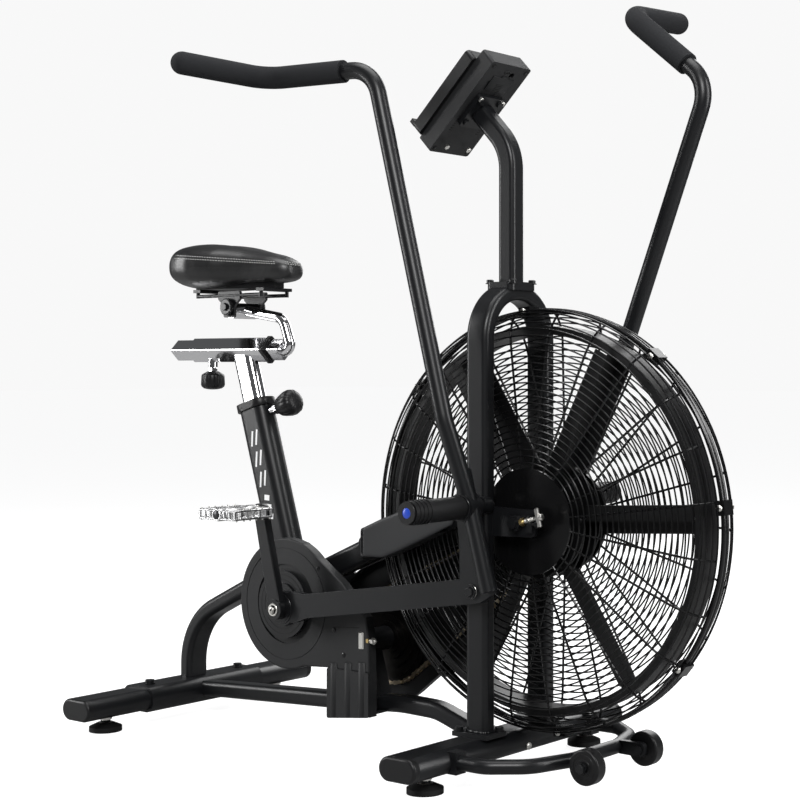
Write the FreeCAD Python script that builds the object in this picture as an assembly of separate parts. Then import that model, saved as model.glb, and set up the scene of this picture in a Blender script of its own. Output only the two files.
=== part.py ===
import FreeCAD, Part
import math
import os
from FreeCAD import Vector as V, Placement, Rotation

# Exercise bike with a caged fan in front, a crank set under the saddle and two swinging
# hand levers linked to the cranks. The rider faces +X, the right side is -Y, Z is up and
# the floor is Z = 0. Lengths are mm; save() slides every piece along X so that the
# bounding box of the whole bike is centred on X = 0.

# ---------------------------------------------------------------- driving dimensions
MODEL_SHIFT_X = 207.36
SIDES = (-1, 1)                     # right, left

# axes that run along Y, each as (x, z)
FAN = FAN_X, FAN_Z = 75.0, 426.0
CRANK = CRANK_X, CRANK_Z = -479.0, 247.0
JACK = JACK_X, JACK_Z = -330.0, 185.0
PIVOT = PIVOT_X, PIVOT_Z = 15.0, 453.0
WHEEL = WHEEL_X, WHEEL_Z = 221.0, 47.0

# fan and cage
CAGE_R = 350.0
CAGE_HUB_R, CAGE_HUB_Y = 88.5, 51.0
RIM_OUTER_R, RIM_INNER_R, RIM_HALF_W = 325.0, 311.0, 24.0
BLADES, BLADE_PHASE = 6, 3.0
# fork and mast
LEG_Y, LEG_DEPTH, LEG_W = 82.0, 45.0, 27.6
ARCH_Z = 727.0
MAST_W, MAST_BEND_Z = 34.0, 1054.0
# stabilisers, feet, wheels
REAR_X, FRONT_X = -800.0, -4.0
STAB_HALF, STAB_W, STAB_T, STAB_Z0 = 285.0, 78.0, 40.0, 28.0
STAB_Z = STAB_Z0 + STAB_T / 2
STAB_TOP = STAB_Z0 + STAB_T
CAP_L = 14
FOOT_Y, FOOT_R = 216.0, 30.0
WHEEL_Y, WHEEL_R = 85.0, 29.0
# crank set, levers and links
CRANK_R, ECCENTRICITY = 175.0, 40.0
LINK_Y, LINK_T = 106.5, 15.0
SWING, NEUTRAL = 18.0, 2.4          # lever angles in degrees
LEVER_R = 14.5
LEVER_PIN = PIN_U, PIN_V = -35.0, -134.5    # link pin in the lever's own frame
PEDAL_L = 94.0
# chain drives
PRIMARY_Y, SECONDARY_Y = -52.0, 62.0
PITCH, SPROCKET_T = 12.7, 3.0
CRANK_TEETH, JACK_SMALL_TEETH, JACK_LARGE_TEETH, FAN_TEETH = 48, 16, 42, 16
# crank cover
COVER_R, COVER_Y, COVER_RECESS_R = 120.0, 64.0, 73.0
# seat
SEAT_TUBE_X, SEAT_TUBE_Z, SEAT_TILT = -626.0, 613.0, math.radians(17.0)
POST_W, POST_T = 50.0, 30.0
SLIDE_Z, SLIDE_S = 715.0, 35.0
KNOB_X = -747
# console
CONSOLE_X, CONSOLE_Z, CONSOLE_TILT = -68.5, 1125.3, math.radians(43.9)
CONSOLE_W, CONSOLE_L = 104.0, 201.0

os.makedirs("parts", exist_ok=True)


# ---------------------------------------------------------------- solids and booleans
def save(name, *shapes):
    """Write all solids of the shapes as one piece."""
    solids = [solid for shape in shapes for solid in shape.Solids]
    for solid in solids:
        solid.translate(V(MODEL_SHIFT_X, 0, 0))
    piece = solids[0] if len(solids) == 1 else Part.makeCompound(solids)
    piece.exportStep("parts/" + name + ".step")


def xcyl(x, y, z, r, length):
    return Part.makeCylinder(r, length, V(x, y, z), V(1, 0, 0))


def ycyl(at, y, r, length, side=1):
    """Cylinder about the Y axis through at = (x, z); y and length run outward on that side."""
    return Part.makeCylinder(r, length, V(at[0], side * y, at[1]), V(0, side, 0))


def zcyl(x, y, z, r, height):
    return Part.makeCylinder(r, height, V(x, y, z), V(0, 0, 1))


def ystack(at, rows, side=1):
    """Coaxial Y cylinders; rows are (y, radius, length)."""
    return [ycyl(at, y, r, length, side) for y, r, length in rows]


def zstack(x, y, rows):
    """Coaxial Z cylinders; rows are (z, radius, height)."""
    return [zcyl(x, y, z, r, height) for z, r, height in rows]


def yring(at, y, outer, inner, length, side=1):
    return ycyl(at, y, outer, length, side).cut(ycyl(at, y, inner, length, side))


def box(x0, x1, y0, y1, z0, z1):
    return Part.makeBox(x1 - x0, y1 - y0, z1 - z0, V(x0, y0, z0))


def span(side, near, far):
    """Lower and upper y of a slab between two distances from the centre plane."""
    return sorted((side * near, side * far))


def fuse(items):
    result = items[0]
    for item in items[1:]:
        result = result.fuse(item)
    return result.removeSplitter()


def mirror(shape):
    return shape.mirror(V(0, 0, 0), V(0, 1, 0))


def biggest(shape):
    return max(shape.Solids, key=lambda solid: solid.Volume)


def as_solid(shape):
    return shape if shape.ShapeType == "Solid" else Part.Solid(shape)


def edges_at_y(shape, y, tol=0.01):
    boxes = [(edge, edge.BoundBox) for edge in shape.Edges]
    return [edge for edge, b in boxes if abs(b.YMin - y) < tol and abs(b.YMax - y) < tol]


def try_fillet(shape, radius, edges):
    """Round the edges, or leave the shape sharp where the kernel refuses the fillet."""
    try:
        return shape.makeFillet(radius, edges)
    except Exception:
        return shape


# ---------------------------------------------------------------- outlines and sweeps
def polar(at, r, degrees):
    angle = math.radians(degrees)
    return at[0] + r * math.cos(angle), at[1] + r * math.sin(angle)


def both_sides(half):
    """(x, y) outline completed by its mirror image in y."""
    return half + [(x, -y) for x, y in reversed(half)]


def corner(before, at, after, r):
    """Start, middle and end of the arc that rounds a corner."""
    u = (before - at).normalize()
    w = (after - at).normalize()
    angle = u.getAngle(w)
    setback = r / math.tan(angle / 2)
    middle = at + (u + w).normalize() * (r / math.sin(angle / 2) - r)
    return at + u * setback, middle, at + w * setback


def segment(a, b):
    return [Part.LineSegment(a, b).toShape()] if (b - a).Length > 1e-4 else []


def rounded_path(points, bends):
    """Open 3D path; bends holds one radius for each inner point."""
    edges = []
    start = points[0]
    for i, radius in enumerate(bends, 1):
        arc = corner(points[i - 1], points[i], points[i + 1], radius)
        edges += segment(start, arc[0]) + [Part.Arc(*arc).toShape()]
        start = arc[2]
    return Part.Wire(edges + segment(start, points[-1]))


def rrect(width, height, r):
    """Rounded rectangle centred in the XY plane."""
    x, y = width / 2, height / 2
    inset = r * (1 - math.sqrt(0.5))
    arcs = []
    for i, j in ((1, -1), (1, 1), (-1, 1), (-1, -1)):
        ends = [V(i * (x - r), j * y, 0), V(i * x, j * (y - r), 0)]
        if i == j:
            ends.reverse()
        arcs.append((ends[0], V(i * (x - inset), j * (y - inset), 0), ends[1]))
    edges = []
    for i, arc in enumerate(arcs):
        edges.append(Part.LineSegment(arcs[i - 1][2], arc[0]).toShape())
        edges.append(Part.Arc(*arc).toShape())
    return Part.Wire(edges)


def frame_at(wire, at, z, x):
    """Copy of an XY wire placed at a point, its normal along z and its X near x."""
    z = V(*z).normalize()
    y = z.cross(V(*x)).normalize()
    placed = wire.copy()
    placed.Placement = Placement(V(*at), Rotation(y.cross(z), y, z, "ZXY"))
    return placed


def sweep(section, points, x_dir, bends=()):
    points = [V(*p) for p in points]
    placed = frame_at(section, points[0], points[1] - points[0], x_dir)
    return as_solid(rounded_path(points, bends).makePipeShell([placed], True, False))


def tube(r, points, bends):
    return sweep(Part.Wire([Part.makeCircle(r)]), points, (0, 1, 0), bends)


def pull(wire, y0, y1):
    return Part.Face(wire).extrude(V(0, y1 - y0, 0))


def prism(outline, y0, y1):
    """(x, z) polygon pulled along Y."""
    points = [V(x, y0, z) for x, z in outline]
    return pull(Part.makePolygon(points + points[:1]), y0, y1)


def ngon(at, r, sides, phase, y0, y1):
    return prism([polar(at, r, 360 / sides * i + phase) for i in range(sides)], y0, y1)


def flat(outline, z, height):
    """(x, y) polygon raised along Z."""
    points = [V(x, y, z) for x, y in outline]
    return Part.Face(Part.makePolygon(points + points[:1])).extrude(V(0, 0, height))


def rpoly(outline, radii, y0, y1):
    """(x, z) polygon with rounded corners, pulled along Y; radii is one value or a list."""
    points = [V(x, y0, z) for x, z in outline]
    n = len(points)
    if not isinstance(radii, list):
        radii = [radii] * n
    arcs = [corner(points[i - 1], points[i], points[(i + 1) % n], radii[i]) for i in range(n)]
    edges = []
    for i, arc in enumerate(arcs):
        edges.append(Part.Arc(*arc).toShape())
        edges += segment(arc[2], arcs[(i + 1) % n][0])
    return pull(Part.Wire(edges), y0, y1)


def tangent_loop(c1, r1, c2, r2, y0, y1):
    """Slab bounded by two circles and their outer tangents."""
    dx, dz = c2[0] - c1[0], c2[1] - c1[1]
    base = math.degrees(math.atan2(dz, dx))
    spread = math.degrees(math.acos((r1 - r2) / math.hypot(dx, dz)))

    def point(centre, r, degrees):
        x, z = polar(centre, r, degrees)
        return V(x, y0, z)

    arc1 = [point(c1, r1, a) for a in (base + spread, base + 180, base - spread)]
    arc2 = [point(c2, r2, a) for a in (base - spread, base, base + spread)]
    edges = [Part.Arc(*arc1), Part.LineSegment(arc1[2], arc2[0]),
             Part.Arc(*arc2), Part.LineSegment(arc2[2], arc1[0])]
    return pull(Part.Wire([edge.toShape() for edge in edges]), y0, y1)


# ---------------------------------------------------------------- chain drive elements
CHAIN_HALF_W, CHAIN_T = 4.2, 2.6


def pitch_r(teeth):
    return PITCH / (2 * math.sin(math.pi / teeth))


def sprocket(at, y, teeth, bore, holes=False):
    """Toothed wheel whose tips stay below the chain's pitch line."""
    pitch = pitch_r(teeth)
    tip, root = pitch - 1.5, pitch - 4.6
    outline = []
    for i in range(teeth):
        for fraction, r in ((-0.32, root), (-0.14, tip), (0.14, tip), (0.32, root)):
            outline.append(polar(at, r, 360 * (i + fraction) / teeth))
    wheel = prism(outline, y - SPROCKET_T / 2, y + SPROCKET_T / 2)
    wheel = wheel.cut(ycyl(at, y - SPROCKET_T, bore, 2 * SPROCKET_T))
    if holes:
        for i in range(5):
            centre = polar(at, pitch * 0.60, 72 * i + 18)
            wheel = wheel.cut(ycyl(centre, y - SPROCKET_T, pitch * 0.20, 2 * SPROCKET_T))
    return wheel


def chain(c1, teeth1, c2, teeth2, y):
    """Smooth closed band that stands for the chain."""
    def slab(offset):
        return tangent_loop(c1, pitch_r(teeth1) + offset, c2, pitch_r(teeth2) + offset,
                            y - CHAIN_HALF_W, y + CHAIN_HALF_W)
    return slab(CHAIN_T / 2).cut(slab(-CHAIN_T / 2))


# ---------------------------------------------------------------- stabilisers and feet
CLEAR_HALF = 300            # half length of the stabiliser shapes used as cutters
SLEEVE_BOLT_Y = 112


def stab_section():
    return rrect(STAB_W, STAB_T, STAB_T / 2 - 0.02)


def oval_bar(x, half_length):
    return sweep(stab_section(), [(x, -half_length, STAB_Z), (x, half_length, STAB_Z)],
                 (1, 0, 0))


def stabilizer(x):
    bar = oval_bar(x, STAB_HALF - CAP_L)
    for side in SIDES:
        bar = bar.cut(zcyl(x, side * FOOT_Y, STAB_Z0 - 2, 7.0, 22))
    return bar


def end_cap(x, side):
    start = (x, side * (STAB_HALF - CAP_L), STAB_Z)
    face = Part.Face(frame_at(stab_section(), start, (0, side, 0), (1, 0, 0)))
    cap = face.extrude(V(0, side * CAP_L, 0))
    return try_fillet(cap, 5.0, edges_at_y(cap, side * STAB_HALF))


def foot(x, side):
    y = side * FOOT_Y
    return fuse([zcyl(x, y, 0, FOOT_R, 9),
                 Part.makeCone(FOOT_R, 15, 7, V(x, y, 9), V(0, 0, 1)),
                 zcyl(x, y, 16, 9, 4), zcyl(x, y, 20, 6.95, 26)])


def drill_sleeve_bolts(shape):
    for side in SIDES:
        shape = shape.cut(zcyl(REAR_X, side * SLEEVE_BOLT_Y, STAB_Z, 5.2, 40))
    return shape


save("stabilizer_caps", *[end_cap(x, side) for x in (REAR_X, FRONT_X) for side in SIDES])
for end, x in (("rear", REAR_X), ("front", FRONT_X)):
    save("foot_" + end + "_right", foot(x, -1))
    save("foot_" + end + "_left", foot(x, 1))
save("rear_stabilizer", drill_sleeve_bolts(stabilizer(REAR_X)))
save("front_stabilizer", stabilizer(FRONT_X))

# ---------------------------------------------------------------- fork and mast
BASE_T = 8                                          # plate under each leg
BASE_BOLTS = ((-31, LEG_Y + 18), (26, LEG_Y - 18))  # (x, distance from centre plane)


def make_fork():
    """Two legs joined by a half-round arch, with base plates and pivot stubs."""
    section = rrect(LEG_W, LEG_DEPTH, 9)
    leg = sweep(section, [(0, -LEG_Y, STAB_TOP + BASE_T), (0, -LEG_Y, ARCH_Z)], (0, 1, 0))
    half_round = Part.Arc(V(0, -LEG_Y, ARCH_Z), V(0, 0, ARCH_Z + LEG_Y), V(0, LEG_Y, ARCH_Z))
    start = frame_at(section, (0, -LEG_Y, ARCH_Z), (0, 0, 1), (0, 1, 0))
    arch = Part.Wire([half_round.toShape()]).makePipeShell([start], True, False)
    base = box(-40, 34, -LEG_Y - 26, -LEG_Y + 26, STAB_TOP, STAB_TOP + BASE_T)
    result = fuse([leg, mirror(leg), arch, base, mirror(base)])
    result = fuse([result] + [ycyl(PIVOT, LEG_Y + 2, 15, 20, side) for side in SIDES])
    for side in SIDES:
        result = result.cut(ycyl(PIVOT, 70, 8.0, 60, side))
        for x, y in BASE_BOLTS:
            result = result.cut(zcyl(x, side * y, STAB_TOP - 1, 4.2, 12))
    return result


def axle_bracket(side):
    """Plate behind the fan axle's end, from the leg forward."""
    y0, y1 = span(side, 71, 79)
    outline = [(LEG_DEPTH / 2, FAN_Z - 24), (112, FAN_Z - 22),
               (112, FAN_Z + 22), (LEG_DEPTH / 2, FAN_Z + 24)]
    return rpoly(outline, [1, 8, 8, 1], y0, y1).cut(ycyl(FAN, y0 - 1, 8.6, 12))


def make_mast():
    """Square mast bent back to the console, on a rectangular foot."""
    foot_z = ARCH_Z + LEG_Y
    top = (CONSOLE_X + 8 * math.sin(CONSOLE_TILT), 0, CONSOLE_Z - 8 * math.cos(CONSOLE_TILT))
    stem = sweep(rrect(MAST_W, MAST_W, 8), [(0, 0, foot_z + 2), (0, 0, MAST_BEND_Z), top],
                 (0, 1, 0), [88])
    block = sweep(rrect(70, 56, 10), [(0, 0, foot_z + 3), (0, 0, foot_z + 17)], (0, 1, 0))
    return biggest(fuse([stem, block]).cut(fork))


fork = make_fork()
save("fork_arch", fork, *[axle_bracket(side) for side in SIDES])
mast = make_mast()

# ---------------------------------------------------------------- cage envelope
# The shoulder of the cage section is a quarter ellipse about (SHOULDER_R, SHOULDER_Y).
SHOULDER_R, SHOULDER_Y = 292, 12
SHOULDER_DR, SHOULDER_DY = CAGE_R - SHOULDER_R, 34.5


def at_fan(shape, degrees=0):
    """Turn a shape drawn about the Y axis and move it onto the fan axis."""
    shape.rotate(V(0, 0, 0), V(0, 1, 0), -degrees)
    shape.translate(V(FAN_X, 0, FAN_Z))
    return shape


def shoulder(degrees):
    """Point on the shoulder and its outward normal, in (radius, y); 0 degrees faces +Y."""
    angle = math.radians(degrees)
    dr, dy = math.sin(angle), math.cos(angle)
    return (V(SHOULDER_R + SHOULDER_DR * dr, SHOULDER_Y + SHOULDER_DY * dy, 0),
            V(dr / SHOULDER_DR, dy / SHOULDER_DY, 0).normalize())


def cage_envelope(gap):
    """Solid round the cage, used to keep other pieces clear of it."""
    points = [V(0, 0, 0), V(0, 57.2 + gap, 0), V(SHOULDER_R, 52.2 + gap, 0)]
    for degrees in (6, 14, 22, 30, 38, 46, 54, 62, 70, 77):
        point, normal = shoulder(degrees)
        points.append(point + normal * (4.8 + gap))
    points += [V(361 + gap, 17 + gap, 0), V(361 + gap, 0, 0), V(0, 0, 0)]
    face = Part.Face(Part.makePolygon(points))
    half = at_fan(as_solid(face.revolve(V(0, 0, 0), V(0, 1, 0), 360)))
    return fuse([half, mirror(half)])


cage_near, cage_far = cage_envelope(1.5), cage_envelope(4.5)

# ---------------------------------------------------------------- frame spine
SEAT_UP = V(-math.sin(SEAT_TILT), 0, math.cos(SEAT_TILT))
SEAT_FORWARD = V(math.cos(SEAT_TILT), 0, math.sin(SEAT_TILT))
SEAT_TOP = V(SEAT_TUBE_X, 0, SEAT_TUBE_Z)
KNOB_AT = SEAT_TOP - SEAT_UP * 26           # height knob's axis meets the tube's axis


def on_seat_axis(z):
    return (SEAT_TUBE_X + (SEAT_TUBE_Z - z) * math.tan(SEAT_TILT), 0, z)


def along_seat(section, start, end):
    """Sweep along the seat tube axis, by distances above the tube's mouth."""
    return sweep(section, [SEAT_TOP + SEAT_UP * start, SEAT_TOP + SEAT_UP * end],
                 SEAT_FORWARD)


def seat_tube():
    return sweep(rrect(70, 45, 20), [on_seat_axis(255), SEAT_TOP], SEAT_FORWARD)


def post_bore(start):
    return along_seat(rrect(POST_W + 0.12, POST_T + 0.12, 13.06), start, 10)


def knob_bore(r, length):
    return Part.makeCylinder(r, length, KNOB_AT + SEAT_FORWARD * 20, SEAT_FORWARD)


def spine_members():
    sleeve = sweep(rrect(86, 48, 20), [(REAR_X, -140, STAB_Z), (REAR_X, 140, STAB_Z)],
                   (1, 0, 0))
    hoop = sweep(rrect(50, 30, 10),
                 [(REAR_X - 3, 0, 60), (REAR_X - 3, 0, 180.6), on_seat_axis(308)],
                 (0, 1, 0), [130])
    crank_web = prism([(CRANK_X - 70, CRANK_Z + 10), (CRANK_X + 8, CRANK_Z + 24),
                       (CRANK_X + 8, CRANK_Z - 24), (CRANK_X - 30, CRANK_Z - 24)], -20, 20)
    rail = sweep(rrect(36, 30, 9),
                 [(REAR_X + 5, 0, 49), (-706, 0, 55), (-436, 0, 68), (-240, 0, 81),
                  (-160, 0, 79), (-72, 0, 51), (-30, 0, 48)],
                 (0, 1, 0), [300, 500, 300, 120, 80])
    jack_post = prism([(JACK_X - 56, 74), (JACK_X - 14, JACK_Z),
                       (JACK_X + 14, JACK_Z), (JACK_X + 46, 80)], -14, 14)
    shell_strut = prism([(CRANK_X, CRANK_Z - 10), (CRANK_X, CRANK_Z + 12),
                         (JACK_X, JACK_Z + 12), (JACK_X, JACK_Z - 10)], -12, 12)
    yoke_stem = sweep(rrect(34, 44, 10),
                      [(CRANK_X - 45, 0, 266), (-330, 0, 348), (-285, 0, 366)],
                      (0, 1, 0), [100])
    yoke_arms = [sweep(rrect(22, 34, 8),
                       [(-318, side * 8, 353), (-280, side * 36, 368),
                        (-232, side * 71, 386), (-10, side * 78, 462)],
                       (0, 0, 1), [30, 40]) for side in SIDES]
    return [seat_tube(), sleeve, hoop, crank_web, rail, jack_post, shell_strut,
            yoke_stem] + yoke_arms


def make_spine():
    result = fuse(spine_members()).cut(cage_near)
    result = fuse([result, ycyl(CRANK, -25, 27, 68), ycyl(JACK, -22, 22, 66)])
    result = result.cut(oval_bar(REAR_X, CLEAR_HALF)).cut(oval_bar(FRONT_X, CLEAR_HALF))
    result = result.cut(fork)
    result = result.cut(ycyl(CRANK, -30, 17.0, 80)).cut(ycyl(JACK, -30, 12.0, 80))
    result = result.cut(post_bore(-330)).cut(knob_bore(5.6, 40))
    return drill_sleeve_bolts(result)


def seat_collar():
    """Band round the seat tube's mouth."""
    band = along_seat(rrect(78, 53, 22), -12, 3)
    return biggest(band.cut(seat_tube()).cut(post_bore(-30)).cut(knob_bore(12, 60)))


spine = make_spine()
save("frame_spine", biggest(spine))
save("seat_collar", seat_collar())


# ---------------------------------------------------------------- transport bar, wheels
def transport_bar():
    half = [(40, -184), (92, -184), (150, -140), (177, -60)]     # (x, y), right half
    bar = tube(12, [(x, y, STAB_Z) for x, y in both_sides(half)], [40, 60, 60, 60, 60, 40])
    bar = fuse([bar] + [box(20, 44, *span(side, 172, 196), 30, 66) for side in SIDES])
    bar = bar.cut(oval_bar(FRONT_X, CLEAR_HALF))
    lug = [(177, STAB_Z - 11), (WHEEL_X + 12, STAB_Z - 12),
           (WHEEL_X + 12, STAB_Z + 12), (177, STAB_Z + 11)]
    lugs = [rpoly(lug, 8, *span(side, WHEEL_Y - 26, WHEEL_Y - 16)) for side in SIDES]
    bar = fuse([bar] + lugs)
    for side in SIDES:
        bar = bar.cut(ycyl(WHEEL, WHEEL_Y - 40, 5.03, 30, side))
    return biggest(bar)


def wheel(side):
    tyre = yring(WHEEL, WHEEL_Y - 14, WHEEL_R, 5.06, 24, side)
    rims = [e for e in tyre.Edges if abs(e.Length - 2 * math.pi * WHEEL_R) < 0.5]
    return tyre.makeFillet(4, rims)


save("transport_bar", transport_bar())
save("wheel_right", wheel(-1))
save("wheel_left", wheel(1))


# ---------------------------------------------------------------- frame hardware
def axle_block(side):
    """Block and screw at the front edge of an axle bracket."""
    y0, y1 = span(side, 79, 86)
    y = (y0 + y1) / 2
    return fuse([box(100, 111, y0, y1, FAN_Z - 14, FAN_Z + 14),
                 xcyl(111, y, FAN_Z, 3, 16), xcyl(118, y, FAN_Z, 6.5, 5)])


def sleeve_bolt(side):
    z = STAB_Z + 24
    return fuse(zstack(REAR_X, side * SLEEVE_BOLT_Y,
                       [(z - 18, 5.1, 18), (z, 11, 2), (z + 2, 8.5, 6)]))


def base_bolt(x, y):
    z = STAB_TOP + BASE_T
    return fuse(zstack(x, y, [(z - 7, 4.1, 8), (z, 9, 2), (z + 2, 7, 5)]))


def wheel_axle(side):
    return fuse(ystack(WHEEL, [(WHEEL_Y - 26, 5.0, 37), (WHEEL_Y - 30, 8, 4),
                               (WHEEL_Y + 10.5, 9, 6)], side))


save("frame_hardware",
     *[axle_block(side) for side in SIDES],
     *[sleeve_bolt(side) for side in SIDES],
     *[base_bolt(x, side * y) for side in SIDES for x, y in BASE_BOLTS],
     *[wheel_axle(side) for side in SIDES])


# ---------------------------------------------------------------- fan
def fan_axle():
    # the right end is a separate 5 mm length with a hair-thin bore
    shaft = fuse([ycyl(FAN, -88, 8.5, 176), yring(FAN, -93, 8.5, 0.0001, 5)])
    return fuse([shaft] + [ngon(FAN, 14, 6, 0, *span(side, 79, 89)) for side in SIDES])


def fan_blade(index):
    """Flat plate with a flange along each side, the flanges facing opposite ways."""
    flange_end = RIM_INNER_R - 3
    blade = fuse([box(60, RIM_INNER_R - 0.3, -20, 20, -1.5, 1.5),
                  box(100, flange_end, -23, -20, -1.5, 24.5),
                  box(100, flange_end, 20, 23, -24.5, 1.5)])
    return at_fan(blade, BLADE_PHASE + 360 / BLADES * index)


def fan_hub():
    hub = fuse(ystack(FAN, [(-30, 42, 60), (20, 96, 4), (-24, 96, 4), (28, 22, 38)]))
    hub = hub.cut(ycyl(FAN, -40, 8.55, 120))
    return hub.cut(yring(FAN, 60.4, 23, 18, 12))


save("fan_axle", fan_axle())
save("fan_blades", *[fan_blade(i) for i in range(BLADES)])
save("fan_rim", yring(FAN, -RIM_HALF_W, RIM_OUTER_R, RIM_INNER_R, 2 * RIM_HALF_W))
save("fan_hub", fan_hub(), sprocket(FAN, SECONDARY_Y, FAN_TEETH, 18.0))

# ---------------------------------------------------------------- cage
SPOKE_R, RING_R = 1.9, 1.35
SPOKES = 24
OCTAGON = 1.04          # corner radius of an eight-sided wire section over the wire's radius
# the side face is a shallow cone from FACE_R0 out to the shoulder
FACE_R0, FACE_Y0, FACE_DROP = 90.0, 52.5, 6.0
FACE_DR = SHOULDER_R - FACE_R0


def wire_section(r, sides, x=0, y=0):
    corners = [V(*polar((x, y), r, 360.0 * i / sides + 22.5), 0) for i in range(sides)]
    return Part.makePolygon(corners + corners[:1])


def wire_ring(ring_r, y, r, sides=8):
    face = Part.Face(wire_section(r, sides, ring_r, y))
    return at_fan(as_solid(face.revolve(V(0, 0, 0), V(0, 1, 0), 360)))


def ring_stations():
    """(radius, y) point under each ring wire and the outward normal there."""
    normal = V(FACE_DROP, FACE_DR, 0).normalize()
    face = [(V(r, FACE_Y0 - (r - FACE_R0) / FACE_DR * FACE_DROP, 0), normal)
            for r in range(98, SHOULDER_R, 11)]
    return face + [shoulder(degrees) for degrees in (4, 16, 28, 40, 52, 64, 76)]


def cage_spoke():
    start = V(CAGE_HUB_R + 0.4, FACE_Y0, 0)
    straight = Part.LineSegment(start, V(SHOULDER_R, SHOULDER_Y + SHOULDER_DY, 0))
    curve = Part.BSplineCurve()
    curve.interpolate([shoulder(10 * i)[0] for i in range(9)])
    path = Part.Wire([straight.toShape(), curve.toShape()])
    section = frame_at(wire_section(SPOKE_R * OCTAGON, 8), start, (202.6, -6, 0), (0, 0, 1))
    return as_solid(path.makePipeShell([section], True, False))


def cage_grill(side):
    """Ring wires on top of radial spokes; the right side is turned half a step."""
    wires = []
    for point, normal in ring_stations():
        centre = point + normal * (SPOKE_R + RING_R)
        wires.append(wire_ring(centre.x, side * centre.y, RING_R * OCTAGON))
    spoke = cage_spoke()
    if side < 0:
        spoke = mirror(spoke)
    step = 360 / SPOKES
    phase = -step / 2 if side < 0 else 0
    return wires + [at_fan(spoke.copy(), step * i + phase) for i in range(SPOKES)]


def make_cage_rim():
    return fuse([wire_ring(CAGE_R + 1.0, -4.5, 4.0, 12), wire_ring(CAGE_R + 1.0, 4.5, 4.0, 12),
                 yring(FAN, -4.5, CAGE_R + 3.0, CAGE_R - 1.0, 9)])


def cage_clip(index):
    clip = fuse([box(CAGE_R - 7, CAGE_R + 9, -13, 13, -12, 12),
                 ycyl((CAGE_R + 2, 0), -17, 4.5, 34)])
    return biggest(at_fan(clip, 6 + 45 * index).cut(cage_rim))


def cage_hub_plate(side):
    plate = fuse([ycyl(FAN, CAGE_HUB_Y, CAGE_HUB_R, 2.4, side),
                  yring(FAN, CAGE_HUB_Y - 2.5, CAGE_HUB_R, CAGE_HUB_R - 5, 3.5, side)])
    # the left opening is wide enough for the hub
    return plate.cut(ycyl(FAN, CAGE_HUB_Y - 6, 22.5 if side > 0 else 12, 12, side))


save("cage_grill_right", *cage_grill(-1))
save("cage_grill_left", *cage_grill(1))
cage_rim = make_cage_rim()
save("cage_rim", cage_rim)
save("cage_clips", *[cage_clip(i) for i in range(8)])
save("cage_hub_plates", *[cage_hub_plate(side) for side in SIDES])

# ---------------------------------------------------------------- right cover and boot
# (x, z) of the part of the cover that reaches forward from the crank disc
COVER_TAIL = [(-458, 364), (-436, 360), (-390, 330), (-336, 294), (-278, 238),
              (-271, 200), (-270, 140), (-374, 140), (-440, 136)]


def cover_body(inset, y0, y1):
    disc = ycyl(CRANK, y0, COVER_R - inset, y1 - y0)
    points = [V(x, y0, z) for x, z in COVER_TAIL]
    outline = Part.makePolygon(points + points[:1])
    if inset:
        outline = outline.makeOffset2D(-inset)
    return disc.fuse(pull(outline, y0, y1)).removeSplitter()


def make_cover():
    """Hollow cover, open toward the frame, with a round recess and groove outside."""
    cover = cover_body(0, -COVER_Y, -45)
    cover = try_fillet(cover, 3.0, edges_at_y(cover, -COVER_Y, 1e-3))
    cover = cover.cut(cover_body(3.0, -57.2, -44))
    outside = -COVER_Y - 1
    cover = cover.cut(ycyl(CRANK, outside, COVER_RECESS_R, 4.4))
    cover = cover.cut(yring(CRANK, outside, COVER_R - 17, COVER_R - 18.6, 2.0))
    cover = cover.cut(ycyl(CRANK, outside, 16, 20))
    return fuse([cover] + [ycyl((x, 134), -58, 6, 45.5) for x in (-352, -318)])


def cover_boot(cover):
    """Ribbed flap below the cover, folded in under its lower edge to meet the rail."""
    boot = rpoly([(-372, 141), (-372, 50), (-270, 62), (-270, 141)], 4, -66, -62.5)
    for x in (-356, -321, -287):
        boot = fuse([boot, zcyl(x, -57.4, 52 + 0.117 * (x + 372), 11, 96)])
    boot = boot.cut(box(-380, -260, -62.4, -40, 40, 160))
    fold = prism([(-372, 53.5), (-270, 65.5), (-270, 68.5), (-372, 56.5)], -62.5, 12)
    front = prism([(-272.5, 62), (-270, 62), (-270, 141), (-272.5, 141)], -62.5, -44)
    boot = fuse([boot, fold, front]).cut(cover).cut(spine)
    return [solid for solid in boot.Solids if solid.Volume > 300]


cover = make_cover()
save("cover_boot", *cover_boot(cover))
save("cover_right", biggest(cover.cut(spine)))

# ---------------------------------------------------------------- shroud and chain case
# forked shroud over the yoke: side outlines are (x, z), half plans are (x, y)
SHROUD_SIDE = [(-334, 338), (-330, 372), (-300, 392), (-258, 402), (-219, 418),
               (-156, 440), (-104, 451), (-50, 462), (-50, 418), (-172, 366),
               (-212, 351), (-262, 349), (-300, 338)]
SHROUD_SIDE_INNER = [(-337, 341.5), (-327, 369), (-298, 388.5), (-257, 398.5), (-218, 414.5),
                     (-155, 436.5), (-103, 447.5), (-40, 460), (-40, 422), (-172, 370),
                     (-212, 355), (-262, 353), (-300, 341.5)]
SHROUD_PLAN = [(-334, -24), (-330, -29), (-312, -36), (-268, -88), (-258, -92), (-50, -92)]
SHROUD_PLAN_INNER = [(-338, -21), (-314, -30), (-264, -88.8), (-40, -88.8)]
CASE, CASE_R = (-340.0, 192.0), 130.0       # large end of the chain case


def shroud_block(side_outline, r, half_width, half_plan, clearance):
    block = rpoly(side_outline, r, -half_width, half_width)
    return block.common(flat(both_sides(half_plan), 300, 200)).cut(clearance)


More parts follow.
